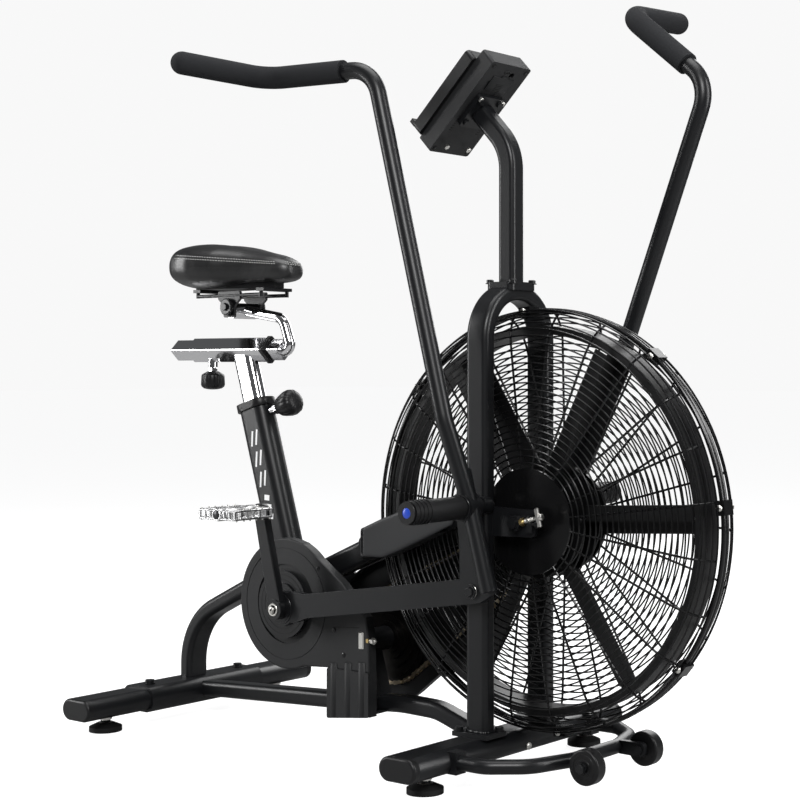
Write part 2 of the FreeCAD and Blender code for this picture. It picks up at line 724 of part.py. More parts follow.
def yoke_shroud():
    inner = shroud_block(SHROUD_SIDE_INNER, 6, 89, SHROUD_PLAN_INNER, cage_far)
    shell = shroud_outer.cut(spine).cut(inner)
    return [solid for solid in shell.Solids if solid.Volume > 400]


def case_slab(inset, y0, y1):
    return tangent_loop(CASE, CASE_R - inset, FAN, pitch_r(FAN_TEETH) + 28 - inset, y0, y1)


def chain_case():
    """Left chain case, closed outside and cut off behind the fork."""
    case = case_slab(0, 58, 71).cut(case_slab(2.6, 57, 68.4))
    case = case.cut(box(-36, 300, 40, 90, 200, 600)).cut(ycyl(JACK, 60, 10, 20))
    return biggest(case.cut(spine).cut(shroud_outer))


def case_cap():
    """Ring and disc on the outer face of the chain case."""
    return fuse([yring(JACK, 71, 62, 56, 2.0), ycyl(JACK, 71, 30, 2.4)]).cut(
        ycyl(JACK, 60, 10, 20))


shroud_outer = shroud_block(SHROUD_SIDE, 8, 92, SHROUD_PLAN, cage_near)
save("yoke_shroud", *yoke_shroud())
save("chain_case", chain_case())
save("cover_left", case_cap())

# ---------------------------------------------------------------- crank set
# right crank pin points forward and right pedal is at the top
PIN_RIGHT = (CRANK_X + ECCENTRICITY, CRANK_Z)
PIN_LEFT = (CRANK_X - ECCENTRICITY, CRANK_Z)
PEDAL = (CRANK_X, CRANK_Z + CRANK_R)
PEDAL_Y0, PEDAL_Y1 = -230.0, -140.0


def half_turn(shape):
    """Left counterpart of a right crank piece, half a revolution away."""
    turned = mirror(shape)
    turned.rotate(V(CRANK_X, 0, CRANK_Z), V(0, 1, 0), 180)
    return turned


def eccentric(disc_y):
    """Discs on the spindle that carry the boss and journal of the right crank pin."""
    boss_y = -98.6
    return fuse(ystack(CRANK, [(disc_y, 62, 6), (disc_y - 4.1, 40, 5)])
                + ystack(PIN_RIGHT, [(boss_y, 26, disc_y + 0.3 - boss_y),
                                     (-116, 23.94, 18)]))


def crank_spindle():
    spider = fuse(ystack(CRANK, [(-55.5, 30, 7), (-49, 15, 20)]))
    return fuse([ycyl(CRANK, -66, 12, 141), eccentric(-71.9), half_turn(eccentric(-79.9)),
                 sprocket(CRANK, PRIMARY_Y, CRANK_TEETH, 11.9, holes=True), spider])


def crank_arm():
    """Tapered arm from the right crank pin to the pedal, with its pedal spindle."""
    (pin_x, pin_z), (end_x, end_z) = PIN_RIGHT, PEDAL
    arm = prism([(pin_x - 15.5, pin_z + 4), (pin_x + 15.5, pin_z + 6),
                 (end_x + 12.5, end_z + 3), (end_x - 12.5, end_z - 3)], -131, -117)
    arm = fuse([arm, ycyl(PIN_RIGHT, -133, 18.5, 17), ycyl(PEDAL, -132, 13.5, 16)])
    arm = try_fillet(arm, 2.0, [e for e in edges_at_y(arm, -131) if e.Length > 60])
    arm = arm.cut(ycyl(PIN_RIGHT, -134, 9.5, 4))
    nut = ngon(PIN_RIGHT, 7, 4, 20, -133, -129.8)
    return fuse([arm, nut, fuse(ystack(PEDAL, [(-226, 6.0, 95), (-138, 9, 6)]))])


def pedal():
    """Platform: round core, front and back bars, five cross ribs."""
    x, z = PEDAL
    half = PEDAL_L / 2
    members = [ycyl(PEDAL, PEDAL_Y0, 10.5, PEDAL_Y1 - PEDAL_Y0)]
    for bar_x in (x - half, x + half):
        members.append(box(bar_x - 4, bar_x + 4, PEDAL_Y0 + 6, PEDAL_Y1 - 4, z - 10, z + 10))
    for y in (PEDAL_Y0, PEDAL_Y0 + 22, (PEDAL_Y0 + PEDAL_Y1) / 2 - 4,
              PEDAL_Y1 - 30, PEDAL_Y1 - 8):
        members.append(box(x - half, x + half, y, y + 6, z - 8, z + 8))
    return fuse(members).cut(ycyl(PEDAL, PEDAL_Y0 - 1, 6.06, PEDAL_Y1 - PEDAL_Y0 + 2))


save("crank_spindle", crank_spindle())
right_arm = crank_arm()
save("crank_right", right_arm)
save("crank_left", half_turn(right_arm))
right_pedal = pedal()
save("pedal_right", right_pedal)
left_pedal = mirror(right_pedal)
left_pedal.translate(V(0, 0, -2 * CRANK_R))
save("pedal_left", left_pedal)

# ---------------------------------------------------------------- levers and links
# A lever is drawn for the right side about the pivot: (u forward, y, v up).
ORIGIN = (0, 0)
LEVER_U = 9.0
LEVER_PATH = [V(LEVER_U, -135, -140), V(LEVER_U, -136, 5), V(LEVER_U, -156, 146),
              V(LEVER_U, -147, 761), V(-210, -176, 823), V(-228, -350, 833)]
LEVER_BENDS = [100, 80, 60, 45]
GRIP_R = 19.5
# (u, v) of the plate between hub and link pin, and its corner radii
GUSSET = [(14, 74), (-20, 34), (-31, 0), (-40, -60), (-56, -118), (-52, -150),
          (-22, -156), (14, -146)]
GUSSET_RADII = [6, 20, 20, 30, 20, 12, 12, 5]


def place_lever(shape, lean, side):
    """Lean a lever forward by degrees and move it to the pivot on its side."""
    placed = shape.copy()
    placed.rotate(V(0, 0, 0), V(0, 1, 0), lean)
    placed.translate(V(PIVOT_X, 0, PIVOT_Z))
    return mirror(placed) if side > 0 else placed


def pin_at(lean):
    """(x, z) of the link pin for a lever's lean in degrees."""
    a = math.radians(lean)
    return (PIVOT_X + PIN_U * math.cos(a) + PIN_V * math.sin(a),
            PIVOT_Z - PIN_U * math.sin(a) + PIN_V * math.cos(a))


def pin_distance(lean, crank_pin):
    x, z = pin_at(lean)
    return math.hypot(x - crank_pin[0], z - crank_pin[1])


def solve_left_lean(link_length):
    """Bisect for the left lean at which its link has the same length."""
    low, high = 10.0, 32.0
    for _ in range(60):
        middle = (low + high) / 2
        if pin_distance(middle, PIN_LEFT) > link_length:
            low = middle
        else:
            high = middle
    return (low + high) / 2


def make_lever():
    pin = fuse(ystack(LEVER_PIN, [(121, 8, 10), (127, 12, 5)], side=-1))
    lower_cap = Part.makeCylinder(LEVER_R, 3, LEVER_PATH[0], V(0, 0, -1))
    lever = fuse([tube(LEVER_R, LEVER_PATH, LEVER_BENDS), ycyl(ORIGIN, 121, 24, 30, side=-1),
                  rpoly(GUSSET, GUSSET_RADII, -127, -121), pin, lower_cap])
    return lever.cut(ycyl(ORIGIN, 110, 12.06, 60, side=-1))


def make_grip(lever):
    """Sleeve over the upper end of the lever, with a ball end."""
    before, bend, end = LEVER_PATH[3:]
    start = before + (bend - before).normalize() * 62
    sleeve = tube(GRIP_R, [start, bend, end], LEVER_BENDS[3:])
    return biggest(fuse([sleeve, Part.makeSphere(GRIP_R, end)]).cut(lever))


def foot_peg(side):
    rows = [(LEG_Y + 22, 12.0, 74.0), (155, 19, 123)]
    rows += [(238 + 9 * i, 20.2, 4) for i in range(4)]
    rows.append((277, 14, 4))
    peg = fuse([fuse(ystack(PIVOT, rows, side)), ycyl(PIVOT, 72, 7.95, 40, side)])
    return peg.cut(fork)


def link(crank_pin, lever_pin, side):
    """Flat bar from a ring round the crank pin to a rounded end at the lever pin."""
    x0, z0 = crank_pin
    dx, dz = lever_pin[0] - x0, lever_pin[1] - z0
    length = math.hypot(dx, dz)
    ux, uz = dx / length, dz / length
    half = [(0, 24), (30, 28), (62, 21), (length - 4, 21)]      # (along, half width)
    outline = [(s, -w) for s, w in half] + list(reversed(half))
    outline = [(x0 + ux * s - uz * w, z0 + uz * s + ux * w) for s, w in outline]
    y0 = -LINK_Y - LINK_T / 2
    bar = fuse([prism(outline, y0, y0 + LINK_T), ycyl(crank_pin, y0, 32, LINK_T),
                ycyl(lever_pin, y0, 21, LINK_T)])
    rounded = try_fillet(bar, 4.0, [e for e in bar.Edges if e.Length > length * 0.6])
    # a fillet can also come back broken
    if rounded.isValid() and rounded.Volume > 1000:
        bar = rounded
    bar = bar.cut(ycyl(crank_pin, y0 - 1, 24.0, LINK_T + 2))
    bar = fuse([bar, ycyl(lever_pin, y0 - 3.6, 9, 3.7)])
    return mirror(bar) if side > 0 else bar


right_lean = NEUTRAL - SWING
left_lean = solve_left_lean(pin_distance(right_lean, PIN_RIGHT))
lever = make_lever()
grip = make_grip(lever)
for name, lean, side, crank_pin in (("right", right_lean, -1, PIN_RIGHT),
                                    ("left", left_lean, 1, PIN_LEFT)):
    save("lever_" + name, place_lever(lever, lean, side))
    save("grip_" + name, place_lever(grip, lean, side))
    save("link_" + name, link(crank_pin, pin_at(lean), side))
save("foot_pegs", *[foot_peg(side) for side in SIDES])


# ---------------------------------------------------------------- jackshaft and chains
def jackshaft():
    steps = [(y, r, 60.6 - y) for y, r in ((49, 42), (52.5, 58), (55.5, 74), (58.2, 83))]
    return fuse([ycyl(JACK, -56, 8, 123), sprocket(JACK, PRIMARY_Y, JACK_SMALL_TEETH, 7.9)]
                + ystack(JACK, [(-51, 14, 28), (46, 30, 14.6)] + steps))


save("bearing_cups",
     yring(CRANK, -25, 17.0, 12.06, 12), yring(CRANK, 31, 17.0, 12.06, 12),
     yring(JACK, -21.9, 12.0, 8.06, 10), yring(JACK, 34, 12.0, 8.06, 10))
shaft = jackshaft()
save("jackshaft", shaft, sprocket(JACK, SECONDARY_Y, JACK_LARGE_TEETH, 8.0).cut(shaft))
save("chain_primary", chain(CRANK, CRANK_TEETH, JACK, JACK_SMALL_TEETH, PRIMARY_Y))
save("chain_secondary", chain(JACK, JACK_LARGE_TEETH, FAN, FAN_TEETH, SECONDARY_Y))

# ---------------------------------------------------------------- seat post and slide
CLAMP = CLAMP_X, CLAMP_Z = -662.0, 790.0        # clamp bolt axis under the saddle


def diamond(size, r, x0, x1):
    """Square bar along X that stands on an edge."""
    return sweep(rrect(size, size, r), [(x0, 0, SLIDE_Z), (x1, 0, SLIDE_Z)],
                 (0, 0.70710678, 0.70710678))


def seat_post():
    post = along_seat(rrect(POST_W, POST_T, 13), -240, 104)
    return biggest(post.cut(diamond(SLIDE_S, 3.5, -800, -500)))


def slide_sleeve():
    sleeve = fuse([diamond(SLIDE_S, 3.5, -799, -592), zcyl(KNOB_X, 0, 682, 9, 16)])
    return biggest(sleeve.cut(slide_bore).cut(zcyl(KNOB_X, 0, 670, 5.08, 28)))


def seat_slide():
    """Inner bar with a bent arm that rises in front and runs back to the clamp barrel."""
    arm = tube(10, [(-560, 0, SLIDE_Z - 3), (-527, 0, SLIDE_Z - 3), (-551, 0, 774),
                    (CLAMP_X + 10, 0, CLAMP_Z)], [14, 26])
    slide = fuse([diamond(SLIDE_S - 5, 2.5, -848, -548), arm, ycyl(CLAMP, -30, 15, 60)])
    return slide.cut(ycyl(CLAMP, -31, 6.06, 62))


slide_bore = diamond(SLIDE_S - 4.88, 2.56, -900, -500)
save("seat_post", seat_post())
save("slide_sleeve", slide_sleeve())
save("slide_collar", biggest(diamond(SLIDE_S + 5, 5, -592, -582).cut(slide_bore)))
save("seat_slide", seat_slide())

# ---------------------------------------------------------------- saddle
# stations of the pad, back to front: (x, half width, bottom z, top z)
PAD_STATIONS = [(-797, 46, 862, 896), (-784, 78, 846, 911), (-757, 100, 839, 922),
                (-712, 104, 837, 924), (-664, 88, 839, 918), (-611, 55, 842, 908),
                (-564, 41, 843, 898), (-530, 31, 845, 887), (-516, 15, 852, 876)]
# (x, y) of the right half of the base
BASE_PLAN = [(-762, -26), (-748, -42), (-712, -50), (-664, -42), (-604, -24), (-562, -12)]
CHEEK = [(CLAMP_X - 14, CLAMP_Z - 13), (CLAMP_X + 14, CLAMP_Z - 13),
         (CLAMP_X + 16, CLAMP_Z + 10), (CLAMP_X + 30, 812), (CLAMP_X + 30, 827),
         (CLAMP_X - 30, 827), (CLAMP_X - 30, 812), (CLAMP_X - 16, CLAMP_Z + 10)]
ROD_Y, ROD_R, ROD_X0, ROD_X1 = 33.1, 3.6, -752, -576


def saddle_clamp():
    """Two cheeks with rods along the saddle, a cross bolt and two cross plates."""
    members = []
    for side in SIDES:
        members.append(rpoly(CHEEK, 3, *span(side, 30.1, 36.1)))
        members.append(xcyl(ROD_X0, side * ROD_Y, 819, ROD_R, ROD_X1 - ROD_X0))
        for x in (ROD_X0, ROD_X1):
            members.append(zcyl(x, side * ROD_Y, 815.4, ROD_R, 16.6))
    clamp = fuse(members + ystack(CLAMP, [(-42, 6.0, 84), (-44, 10, 7), (37, 10, 7)]))
    for x in (ROD_X0, ROD_X1):
        clamp = clamp.fuse(box(x - 10, x + 10, -37, 37, 826, 832))
    return clamp.removeSplitter()


def pad_section(x, half_width, z0, z1):
    """Closed spline through points of a superellipse."""
    points = []
    count, power = 28, 2 / 2.6
    for i in range(count):
        angle = 2 * math.pi * i / count
        c, s = math.cos(angle), math.sin(angle)
        points.append(V(x, math.copysign(abs(c) ** power, c) * half_width,
                        (z0 + z1) / 2 + math.copysign(abs(s) ** power, s) * (z1 - z0) / 2))
    curve = Part.BSplineCurve()
    curve.interpolate(points, PeriodicFlag=True)
    return Part.Wire([curve.toShape()])


pad = Part.makeLoft([pad_section(*station) for station in PAD_STATIONS], True, False)
save("saddle_clamp", saddle_clamp())
save("saddle_base", biggest(flat(both_sides(BASE_PLAN), 832, 30).cut(pad)))
save("saddle_pad", pad)


# ---------------------------------------------------------------- knobs
def height_knob():
    """Pin and flared knob in front of the seat tube, square to it."""
    def out(distance):
        return KNOB_AT + SEAT_FORWARD * distance, SEAT_FORWARD
    return fuse([Part.makeCylinder(5.5, 38, *out(25.6)), Part.makeCylinder(9, 10, *out(56)),
                 Part.makeCone(14, 22, 16, *out(64)), Part.makeCone(22, 25, 14, *out(80)),
                 Part.makeCone(25, 17, 12, *out(94))])


def slide_knob():
    """Knob hanging under the slide sleeve."""
    members = zstack(KNOB_X, 0, [(655, 5.0, 37.4), (673, 8, 6)])
    # cones: bottom z, lower radius, upper radius, height
    for z, lower, upper, height in ((647, 23, 22, 20), (667, 22, 12, 8), (638, 15, 23, 9)):
        members.append(Part.makeCone(lower, upper, height, V(KNOB_X, 0, z), V(0, 0, 1)))
    return fuse(members)


save("height_knob", height_knob())
save("slide_knob", slide_knob())

# ---------------------------------------------------------------- console
# drawn flat: x up the face, y across, z out of the face toward the rider
BUTTON_X, BUTTON_Y = -60, 26


def tilt(shape):
    """Move a console piece from its flat drawing to the top of the mast."""
    c, s = math.cos(CONSOLE_TILT), math.sin(CONSOLE_TILT)
    turn = Rotation(V(c, 0, s), V(0, 1, 0), V(-s, 0, c), "ZXY")
    tilted = shape.copy()
    tilted.Placement = Placement(V(CONSOLE_X, 0, CONSOLE_Z), turn).multiply(tilted.Placement)
    return tilted


def round_box(x0, x1, y0, y1, z0, z1, r):
    """Box with its four edges along z rounded."""
    block = box(x0, x1, y0, y1, z0, z1)
    uprights = [e for e in block.Edges
                if abs(e.BoundBox.ZMax - e.BoundBox.ZMin - (z1 - z0)) < 1e-6]
    return block.makeFillet(r, uprights)


def console_housing():
    x, y = CONSOLE_L / 2, CONSOLE_W / 2
    house = round_box(-x, x, -y, y, 0, 32, 5)
    house = house.cut(box(-x + 3, x - 3, -y + 3, y - 3, 3, 33))
    for hole_x in (-92, 92):
        for hole_y in (-44, 44):
            house = house.cut(zcyl(hole_x, hole_y, -0.01, 3.2, 1.2))
    house = house.cut(box(18, 62, -34, 6, -0.01, 0.8))
    return house.cut(zcyl(80, 14, -0.01, 6, 4))


def console_bezel():
    bezel = round_box(-92, 80, -60, 60, 32, 54, 7)
    bezel = bezel.cut(round_box(-30, 62, -44, 44, 51.5, 55, 3))
    bezel = bezel.cut(box(-85, 73, -52, 52, 31, 48))
    for side in SIDES:
        bezel = bezel.cut(zcyl(BUTTON_X, side * BUTTON_Y, 40, 9.5, 20))
    return bezel.fuse(box(-92, -84, -56, 56, 53, 66)).removeSplitter()


def button(side):
    return fuse(zstack(BUTTON_X, side * BUTTON_Y,
                       [(49.5, 9.3, 7), (46, 11, 1.5), (46.5, 9.3, 4)]))


def mast_plate():
    """Plate behind the console with four round studs."""
    plate = round_box(-34, 34, -34, 34, -8, 0, 6)
    for x in (-24, 24):
        for y in (-24, 24):
            plate = plate.fuse(zcyl(x, y, -12.4, 6, 4.5))
    return plate.removeSplitter()


save("console_housing", tilt(console_housing()))
save("console_bezel", tilt(console_bezel()))
save("console_screen", tilt(round_box(-30, 62, -44, 44, 51.5, 52.4, 3)))
save("button_right", tilt(button(-1)))
save("button_left", tilt(button(1)))
save("mast", mast, tilt(mast_plate()))
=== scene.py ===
import bpy
import math
import random
from mathutils import Vector, Matrix


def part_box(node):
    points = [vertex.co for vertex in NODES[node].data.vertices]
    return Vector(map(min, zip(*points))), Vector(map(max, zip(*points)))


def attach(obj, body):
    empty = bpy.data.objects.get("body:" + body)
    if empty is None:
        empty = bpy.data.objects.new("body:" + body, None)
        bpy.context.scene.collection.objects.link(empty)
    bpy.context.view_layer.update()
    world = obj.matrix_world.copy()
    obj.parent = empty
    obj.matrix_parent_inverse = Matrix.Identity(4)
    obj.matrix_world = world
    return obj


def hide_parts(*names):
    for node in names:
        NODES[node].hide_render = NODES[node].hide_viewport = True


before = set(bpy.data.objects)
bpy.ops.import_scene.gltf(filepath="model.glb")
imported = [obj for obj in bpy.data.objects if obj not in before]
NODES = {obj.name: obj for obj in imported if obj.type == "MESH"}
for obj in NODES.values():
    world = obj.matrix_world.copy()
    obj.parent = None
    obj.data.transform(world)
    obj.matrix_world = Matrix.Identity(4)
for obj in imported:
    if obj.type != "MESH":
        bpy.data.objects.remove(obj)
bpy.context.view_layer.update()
_lo, _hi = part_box("fan_rim")
SX = (_lo[0] + _hi[0]) / 2 - 0.075


def W(x, y, z):
    """millimetres about the fork plane -> metres in the row frame"""
    return Vector((x / 1000 + SX, y / 1000, z / 1000))


# ------------------------------------------------------------------ materials
MATS = {}


def mat(name, base, rough, metal=0.0, coat=0.0, noise=None, bump=0.0, rough_var=0.0, spec=0.5, coat_rough=0.15, col_var=0.0):
    if name in MATS:
        return MATS[name]
    m = bpy.data.materials.new(name)
    m.use_nodes = True
    nt = m.node_tree
    b = nt.nodes["Principled BSDF"]
    b.inputs["Base Color"].default_value = (*base, 1)
    b.inputs["Roughness"].default_value = rough
    b.inputs["Metallic"].default_value = metal
    b.inputs["Specular IOR Level"].default_value = spec if metal or max(base) > 0.1 else spec * 0.5
    b.inputs["Coat Weight"].default_value = coat * (1.0 if metal else 0.45)
    b.inputs["Coat Roughness"].default_value = coat_rough
    tc = nt.nodes.new("ShaderNodeTexCoord")
    if bump:
        n = nt.nodes.new("ShaderNodeTexNoise")
        n.inputs["Scale"].default_value = noise or 800
        n.inputs["Detail"].default_value = 3
        nt.links.new(tc.outputs["Object"], n.inputs["Vector"])
        bp = nt.nodes.new("ShaderNodeBump")
        bp.inputs["Strength"].default_value = bump
        bp.inputs["Distance"].default_value = 0.0004
        nt.links.new(n.outputs["Fac"], bp.inputs["Height"])
        nt.links.new(bp.outputs["Normal"], b.inputs["Normal"])
    if rough_var or col_var:
        n2 = nt.nodes.new("ShaderNodeTexNoise")
        n2.inputs["Scale"].default_value = 14
        n2.inputs["Detail"].default_value = 6
        nt.links.new(tc.outputs["Object"], n2.inputs["Vector"])
        if rough_var:
            mr = nt.nodes.new("ShaderNodeMapRange")
            mr.inputs["To Min"].default_value = rough - rough_var
            mr.inputs["To Max"].default_value = rough + rough_var
            nt.links.new(n2.outputs["Fac"], mr.inputs["Value"])
            nt.links.new(mr.outputs["Result"], b.inputs["Roughness"])
        if col_var:
            mx = nt.nodes.new("ShaderNodeMix")
            mx.data_type = "RGBA"
            mx.inputs[6].default_value = (*[c * (1 - col_var) for c in base], 1)
            mx.inputs[7].default_value = (*[min(1, c * (1 + col_var)) for c in base], 1)
            nt.links.new(n2.outputs["Fac"], mx.inputs[0])
            nt.links.new(mx.outputs[2], b.inputs["Base Color"])
    MATS[name] = m
    return m


def leather(name, base, rough):
    m = bpy.data.materials.new(name)
    m.use_nodes = True
    nt = m.node_tree
    b = nt.nodes["Principled BSDF"]
    b.inputs["Base Color"].default_value = (*base, 1)
    b.inputs["Roughness"].default_value = rough
    b.inputs["Coat Weight"].default_value = 0.12
    b.inputs["Coat Roughness"].default_value = 0.3
    tc = nt.nodes.new("ShaderNodeTexCoord")
    v = nt.nodes.new("ShaderNodeTexVoronoi")
    v.inputs["Scale"].default_value = 420
    n = nt.nodes.new("ShaderNodeTexNoise")
    n.inputs["Scale"].default_value = 90
    n.inputs["Detail"].default_value = 4
    add = nt.nodes.new("ShaderNodeMath")
    add.operation = "MULTIPLY_ADD"
    add.inputs[1].default_value = 0.5
    bp = nt.nodes.new("ShaderNodeBump")
    bp.inputs["Strength"].default_value = 0.22
    bp.inputs["Distance"].default_value = 0.0005
    nt.links.new(tc.outputs["Object"], v.inputs["Vector"])
    nt.links.new(tc.outputs["Object"], n.inputs["Vector"])
    nt.links.new(v.outputs["Distance"], add.inputs[0])
    nt.links.new(n.outputs["Fac"], add.inputs[2])
    nt.links.new(add.outputs[0], bp.inputs["Height"])
    nt.links.new(bp.outputs["Normal"], b.inputs["Normal"])
    MATS[name] = m
    return m


M_FRAME = mat("powder_black", (0.0055, 0.0058, 0.0066), 0.36, coat=0.22, noise=1400, bump=0.10, rough_var=0.03, coat_rough=0.3)
M_WIRE = mat("wire_black", (0.0035, 0.0035, 0.0038), 0.26, coat=0.25)
M_COVER = mat("cover_black", (0.0125, 0.0128, 0.0135), 0.5, noise=1700, bump=0.22, rough_var=0.03)
M_SHROUD = mat("shroud_grey", (0.016, 0.0165, 0.0175), 0.46, noise=1500, bump=0.2)
M_BLACKP = mat("plastic_black", (0.007, 0.007, 0.0075), 0.36, noise=1500, bump=0.06)
M_RUBBER = mat("rubber_black", (0.006, 0.006, 0.006), 0.58, noise=900, bump=0.1)
M_WHEEL = mat("wheel_black", (0.006, 0.006, 0.0063), 0.36, noise=900, bump=0.03)
M_ZINC = mat("zinc", (0.62, 0.61, 0.58), 0.3, metal=1.0, noise=500, bump=0.05, rough_var=0.05)
M_CHROME = mat("chrome", (0.66, 0.66, 0.67), 0.13, metal=1.0)
M_FORGED = mat("forged_black", (0.0065, 0.0068, 0.0075), 0.32, coat=0.3, noise=700, bump=0.08)
M_CHAIN = mat("chain_steel", (0.50, 0.43, 0.32), 0.34, metal=1.0, noise=400, bump=0.1, col_var=0.25)
M_STEELD = mat("sprocket_steel", (0.045, 0.043, 0.041), 0.38, metal=1.0, noise=400, bump=0.1)
M_FAN = mat("fan_black", (0.0045, 0.0045, 0.0048), 0.42, coat=0.1, noise=1200, bump=0.06)
M_ALLOY = mat("alloy_cast", (0.74, 0.74, 0.74), 0.30, metal=1.0, noise=600, bump=0.12, rough_var=0.06)
M_FOAM = mat("foam_grip", (0.015, 0.0155, 0.017), 0.86, noise=1300, bump=0.5, spec=0.3)
M_PEG = mat("peg_rubber", (0.0065, 0.0065, 0.007), 0.42, noise=900, bump=0.05)
M_BLUE = mat("blue_dot", (0.01, 0.05, 0.42), 0.3, coat=0.3)
M_BRASS = mat("brass_nut", (0.62, 0.46, 0.2), 0.32, metal=1.0)
M_WHITE = mat("white_print", (0.78, 0.78, 0.78), 0.5)
M_LCD = mat("lcd_window", (0.035, 0.045, 0.04), 0.08, coat=1.0)
M_LCDSEG = mat("lcd_segments", (0.30, 0.36, 0.32), 0.4)
M_RED = mat("key_red", (0.42, 0.03, 0.025), 0.35, coat=0.3)
M_KEY = mat("key_grey", (0.16, 0.165, 0.17), 0.4)
M_VINYL = leather("saddle_vinyl", (0.0045, 0.0045, 0.0048), 0.38)
M_VINYL2 = leather("saddle_side", (0.0055, 0.0055, 0.0058), 0.42)
M_THREAD = mat("thread", (0.42, 0.42, 0.41), 0.7)
# near-black used for holes, sockets, grooves and slots: painted shade standing in for their depth, not a part colour
M_PAINTED_SHADE = mat("painted_recess_shade", (0.004, 0.004, 0.004), 0.6)
M_BEARING = mat("bearing_dark", (0.03, 0.03, 0.032), 0.3, metal=0.6)

BY_NODE = {}
for m, names in (
    (M_FRAME, "frame_spine rear_stabilizer front_stabilizer fork_arch mast transport_bar lever_right lever_left link_right link_left"),
    (M_WIRE, "cage_grill_right cage_grill_left cage_rim cage_clips cage_hub_plates"),
    (M_COVER, "cover_right cover_left cover_boot chain_case console_housing"),
    (M_SHROUD, "yoke_shroud"),
    (M_BLACKP, "stabilizer_caps seat_collar slide_collar height_knob slide_knob saddle_base console_bezel"),
    (M_RUBBER, "foot_rear_right foot_rear_left foot_front_right foot_front_left"),
    (M_WHEEL, "wheel_right wheel_left"),
    (M_FORGED, "frame_hardware"),
    (M_FORGED, "fan_axle"),
    (M_ZINC, "bearing_cups"),
    (M_CHROME, "seat_post slide_sleeve seat_slide"),
    (M_FORGED, "crank_right crank_left crank_spindle"),
    (M_FRAME, "saddle_clamp"),
    (M_CHAIN, "chain_primary chain_secondary"),
    (M_STEELD, "jackshaft"),
    (M_FAN, "fan_hub fan_blades fan_rim"),
    (M_ALLOY, "pedal_right pedal_left"),
    (M_FOAM, "grip_right grip_left"),
    (M_PEG, "foot_pegs"),
    (M_VINYL, "saddle_pad"),
    (M_LCD, "console_screen"),
    (M_KEY, "button_left"),
    (M_RED, "button_right"),
):
    for n in names.split():
        BY_NODE[n] = m
for n, o in NODES.items():
    m = BY_NODE[n]
    if not o.material_slots:
        o.data.materials.append(m)
    for s in o.material_slots:
        s.material = m

#DETAILS_BEGIN
# ------------------------------------------------------------------ small-part kit
V3 = Vector


class Batch:
    """many small parts of one finish on one body, joined into one piece"""
    all = {}

    def __init__(self, name, body, material, slot):
        self.name, self.body, self.material, self.slot = name, body, material, slot
        self.v, self.f = [], []
        Batch.all[name] = self

    def add(self, vs, fs):
        k = len(self.v)
        self.v += [W(*p) for p in vs]
        self.f += [[k + i for i in f] for f in fs]

    def make(self, angle=38):
        me = bpy.data.meshes.new(self.name)
        me.from_pydata([tuple(p) for p in self.v], [], self.f)
        me.validate()
        me.polygons.foreach_set("use_smooth", [True] * len(me.polygons))
        me.set_sharp_from_angle(angle=math.radians(angle))
        o = bpy.data.objects.new(self.name, me)
        bpy.context.scene.collection.objects.link(o)
        me.materials.append(self.material)
        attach(o, self.body)
        return o


def basis(d, x=None):
    d = V3(d).normalized()
    if x is None:
        x = V3((0, 0, 1)) if abs(d.z) < 0.8 else V3((1, 0, 0))
    x = (V3(x) - d * V3(x).dot(d)).normalized()
    return d, x, d.cross(x)


def lathe(b, p, d, prof, seg=40, flute=0, depth=0.0, x=None):
    """prof: (distance along d, radius) pairs; closed at both ends"""
    d, x, y = basis(d, x)
    p = V3(p)
    vs, fs = [], []
    for h, r in prof:
        for i in range(seg):
            a = 2 * math.pi * i / seg
            rr = r * (1 - depth * (0.5 + 0.5 * math.cos(flute * a)) ** 3) if flute else r
            q = p + d * h + (x * math.cos(a) + y * math.sin(a)) * rr
            vs.append(q)
    n = len(prof)
    for j in range(n - 1):
        for i in range(seg):
            k = (i + 1) % seg
            fs.append([j * seg + i, j * seg + k, (j + 1) * seg + k, (j + 1) * seg + i])
    fs.append([i for i in range(seg)][::-1])
    fs.append([(n - 1) * seg + i for i in range(seg)])
    b.add(vs, fs)


def ring_l(b, p, d, ro, ri, h, seg=48, ch=0.4):
    d, x, y = basis(d)
    p = V3(p)
    prof = [(0, ri), (0, ro - ch), (ch, ro), (h - ch, ro), (h, ro - ch), (h, ri)]
    vs, fs = [], []
    for hh, r in prof:
        for i in range(seg):
            a = 2 * math.pi * i / seg
            vs.append(p + d * hh + (x * math.cos(a) + y * math.sin(a)) * r)
    n = len(prof)
    for j in range(n):
        m = (j + 1) % n
        for i in range(seg):
            k = (i + 1) % seg
            fs.append([j * seg + i, j * seg + k, m * seg + k, m * seg + i])
    b.add(vs, fs)


def hexh(b, p, d, r, h, ch=0.8, n=6, washer=0.0, x=None):
    """hexagon head with a chamfered top and an optional washer under it"""
    if washer:
        lathe(b, p, d, [(0, washer), (1.4, washer), (1.6, washer - 0.3)], 36)
        p = V3(p) + V3(d).normalized() * 1.6
    d, x, y = basis(d, x)
    p = V3(p)
    vs, fs = [], []
    for hh, rr in ((0, r), (h - ch, r), (h, r - ch)):
        for i in range(n):
            a = 2 * math.pi * i / n
            vs.append(p + d * hh + (x * math.cos(a) + y * math.sin(a)) * rr)
    for j in range(2):
        for i in range(n):
            k = (i + 1) % n
            fs.append([j * n + i, j * n + k, (j + 1) * n + k, (j + 1) * n + i])
    fs.append(list(range(n))[::-1])
    fs.append([2 * n + i for i in range(n)])
    b.add(vs, fs)


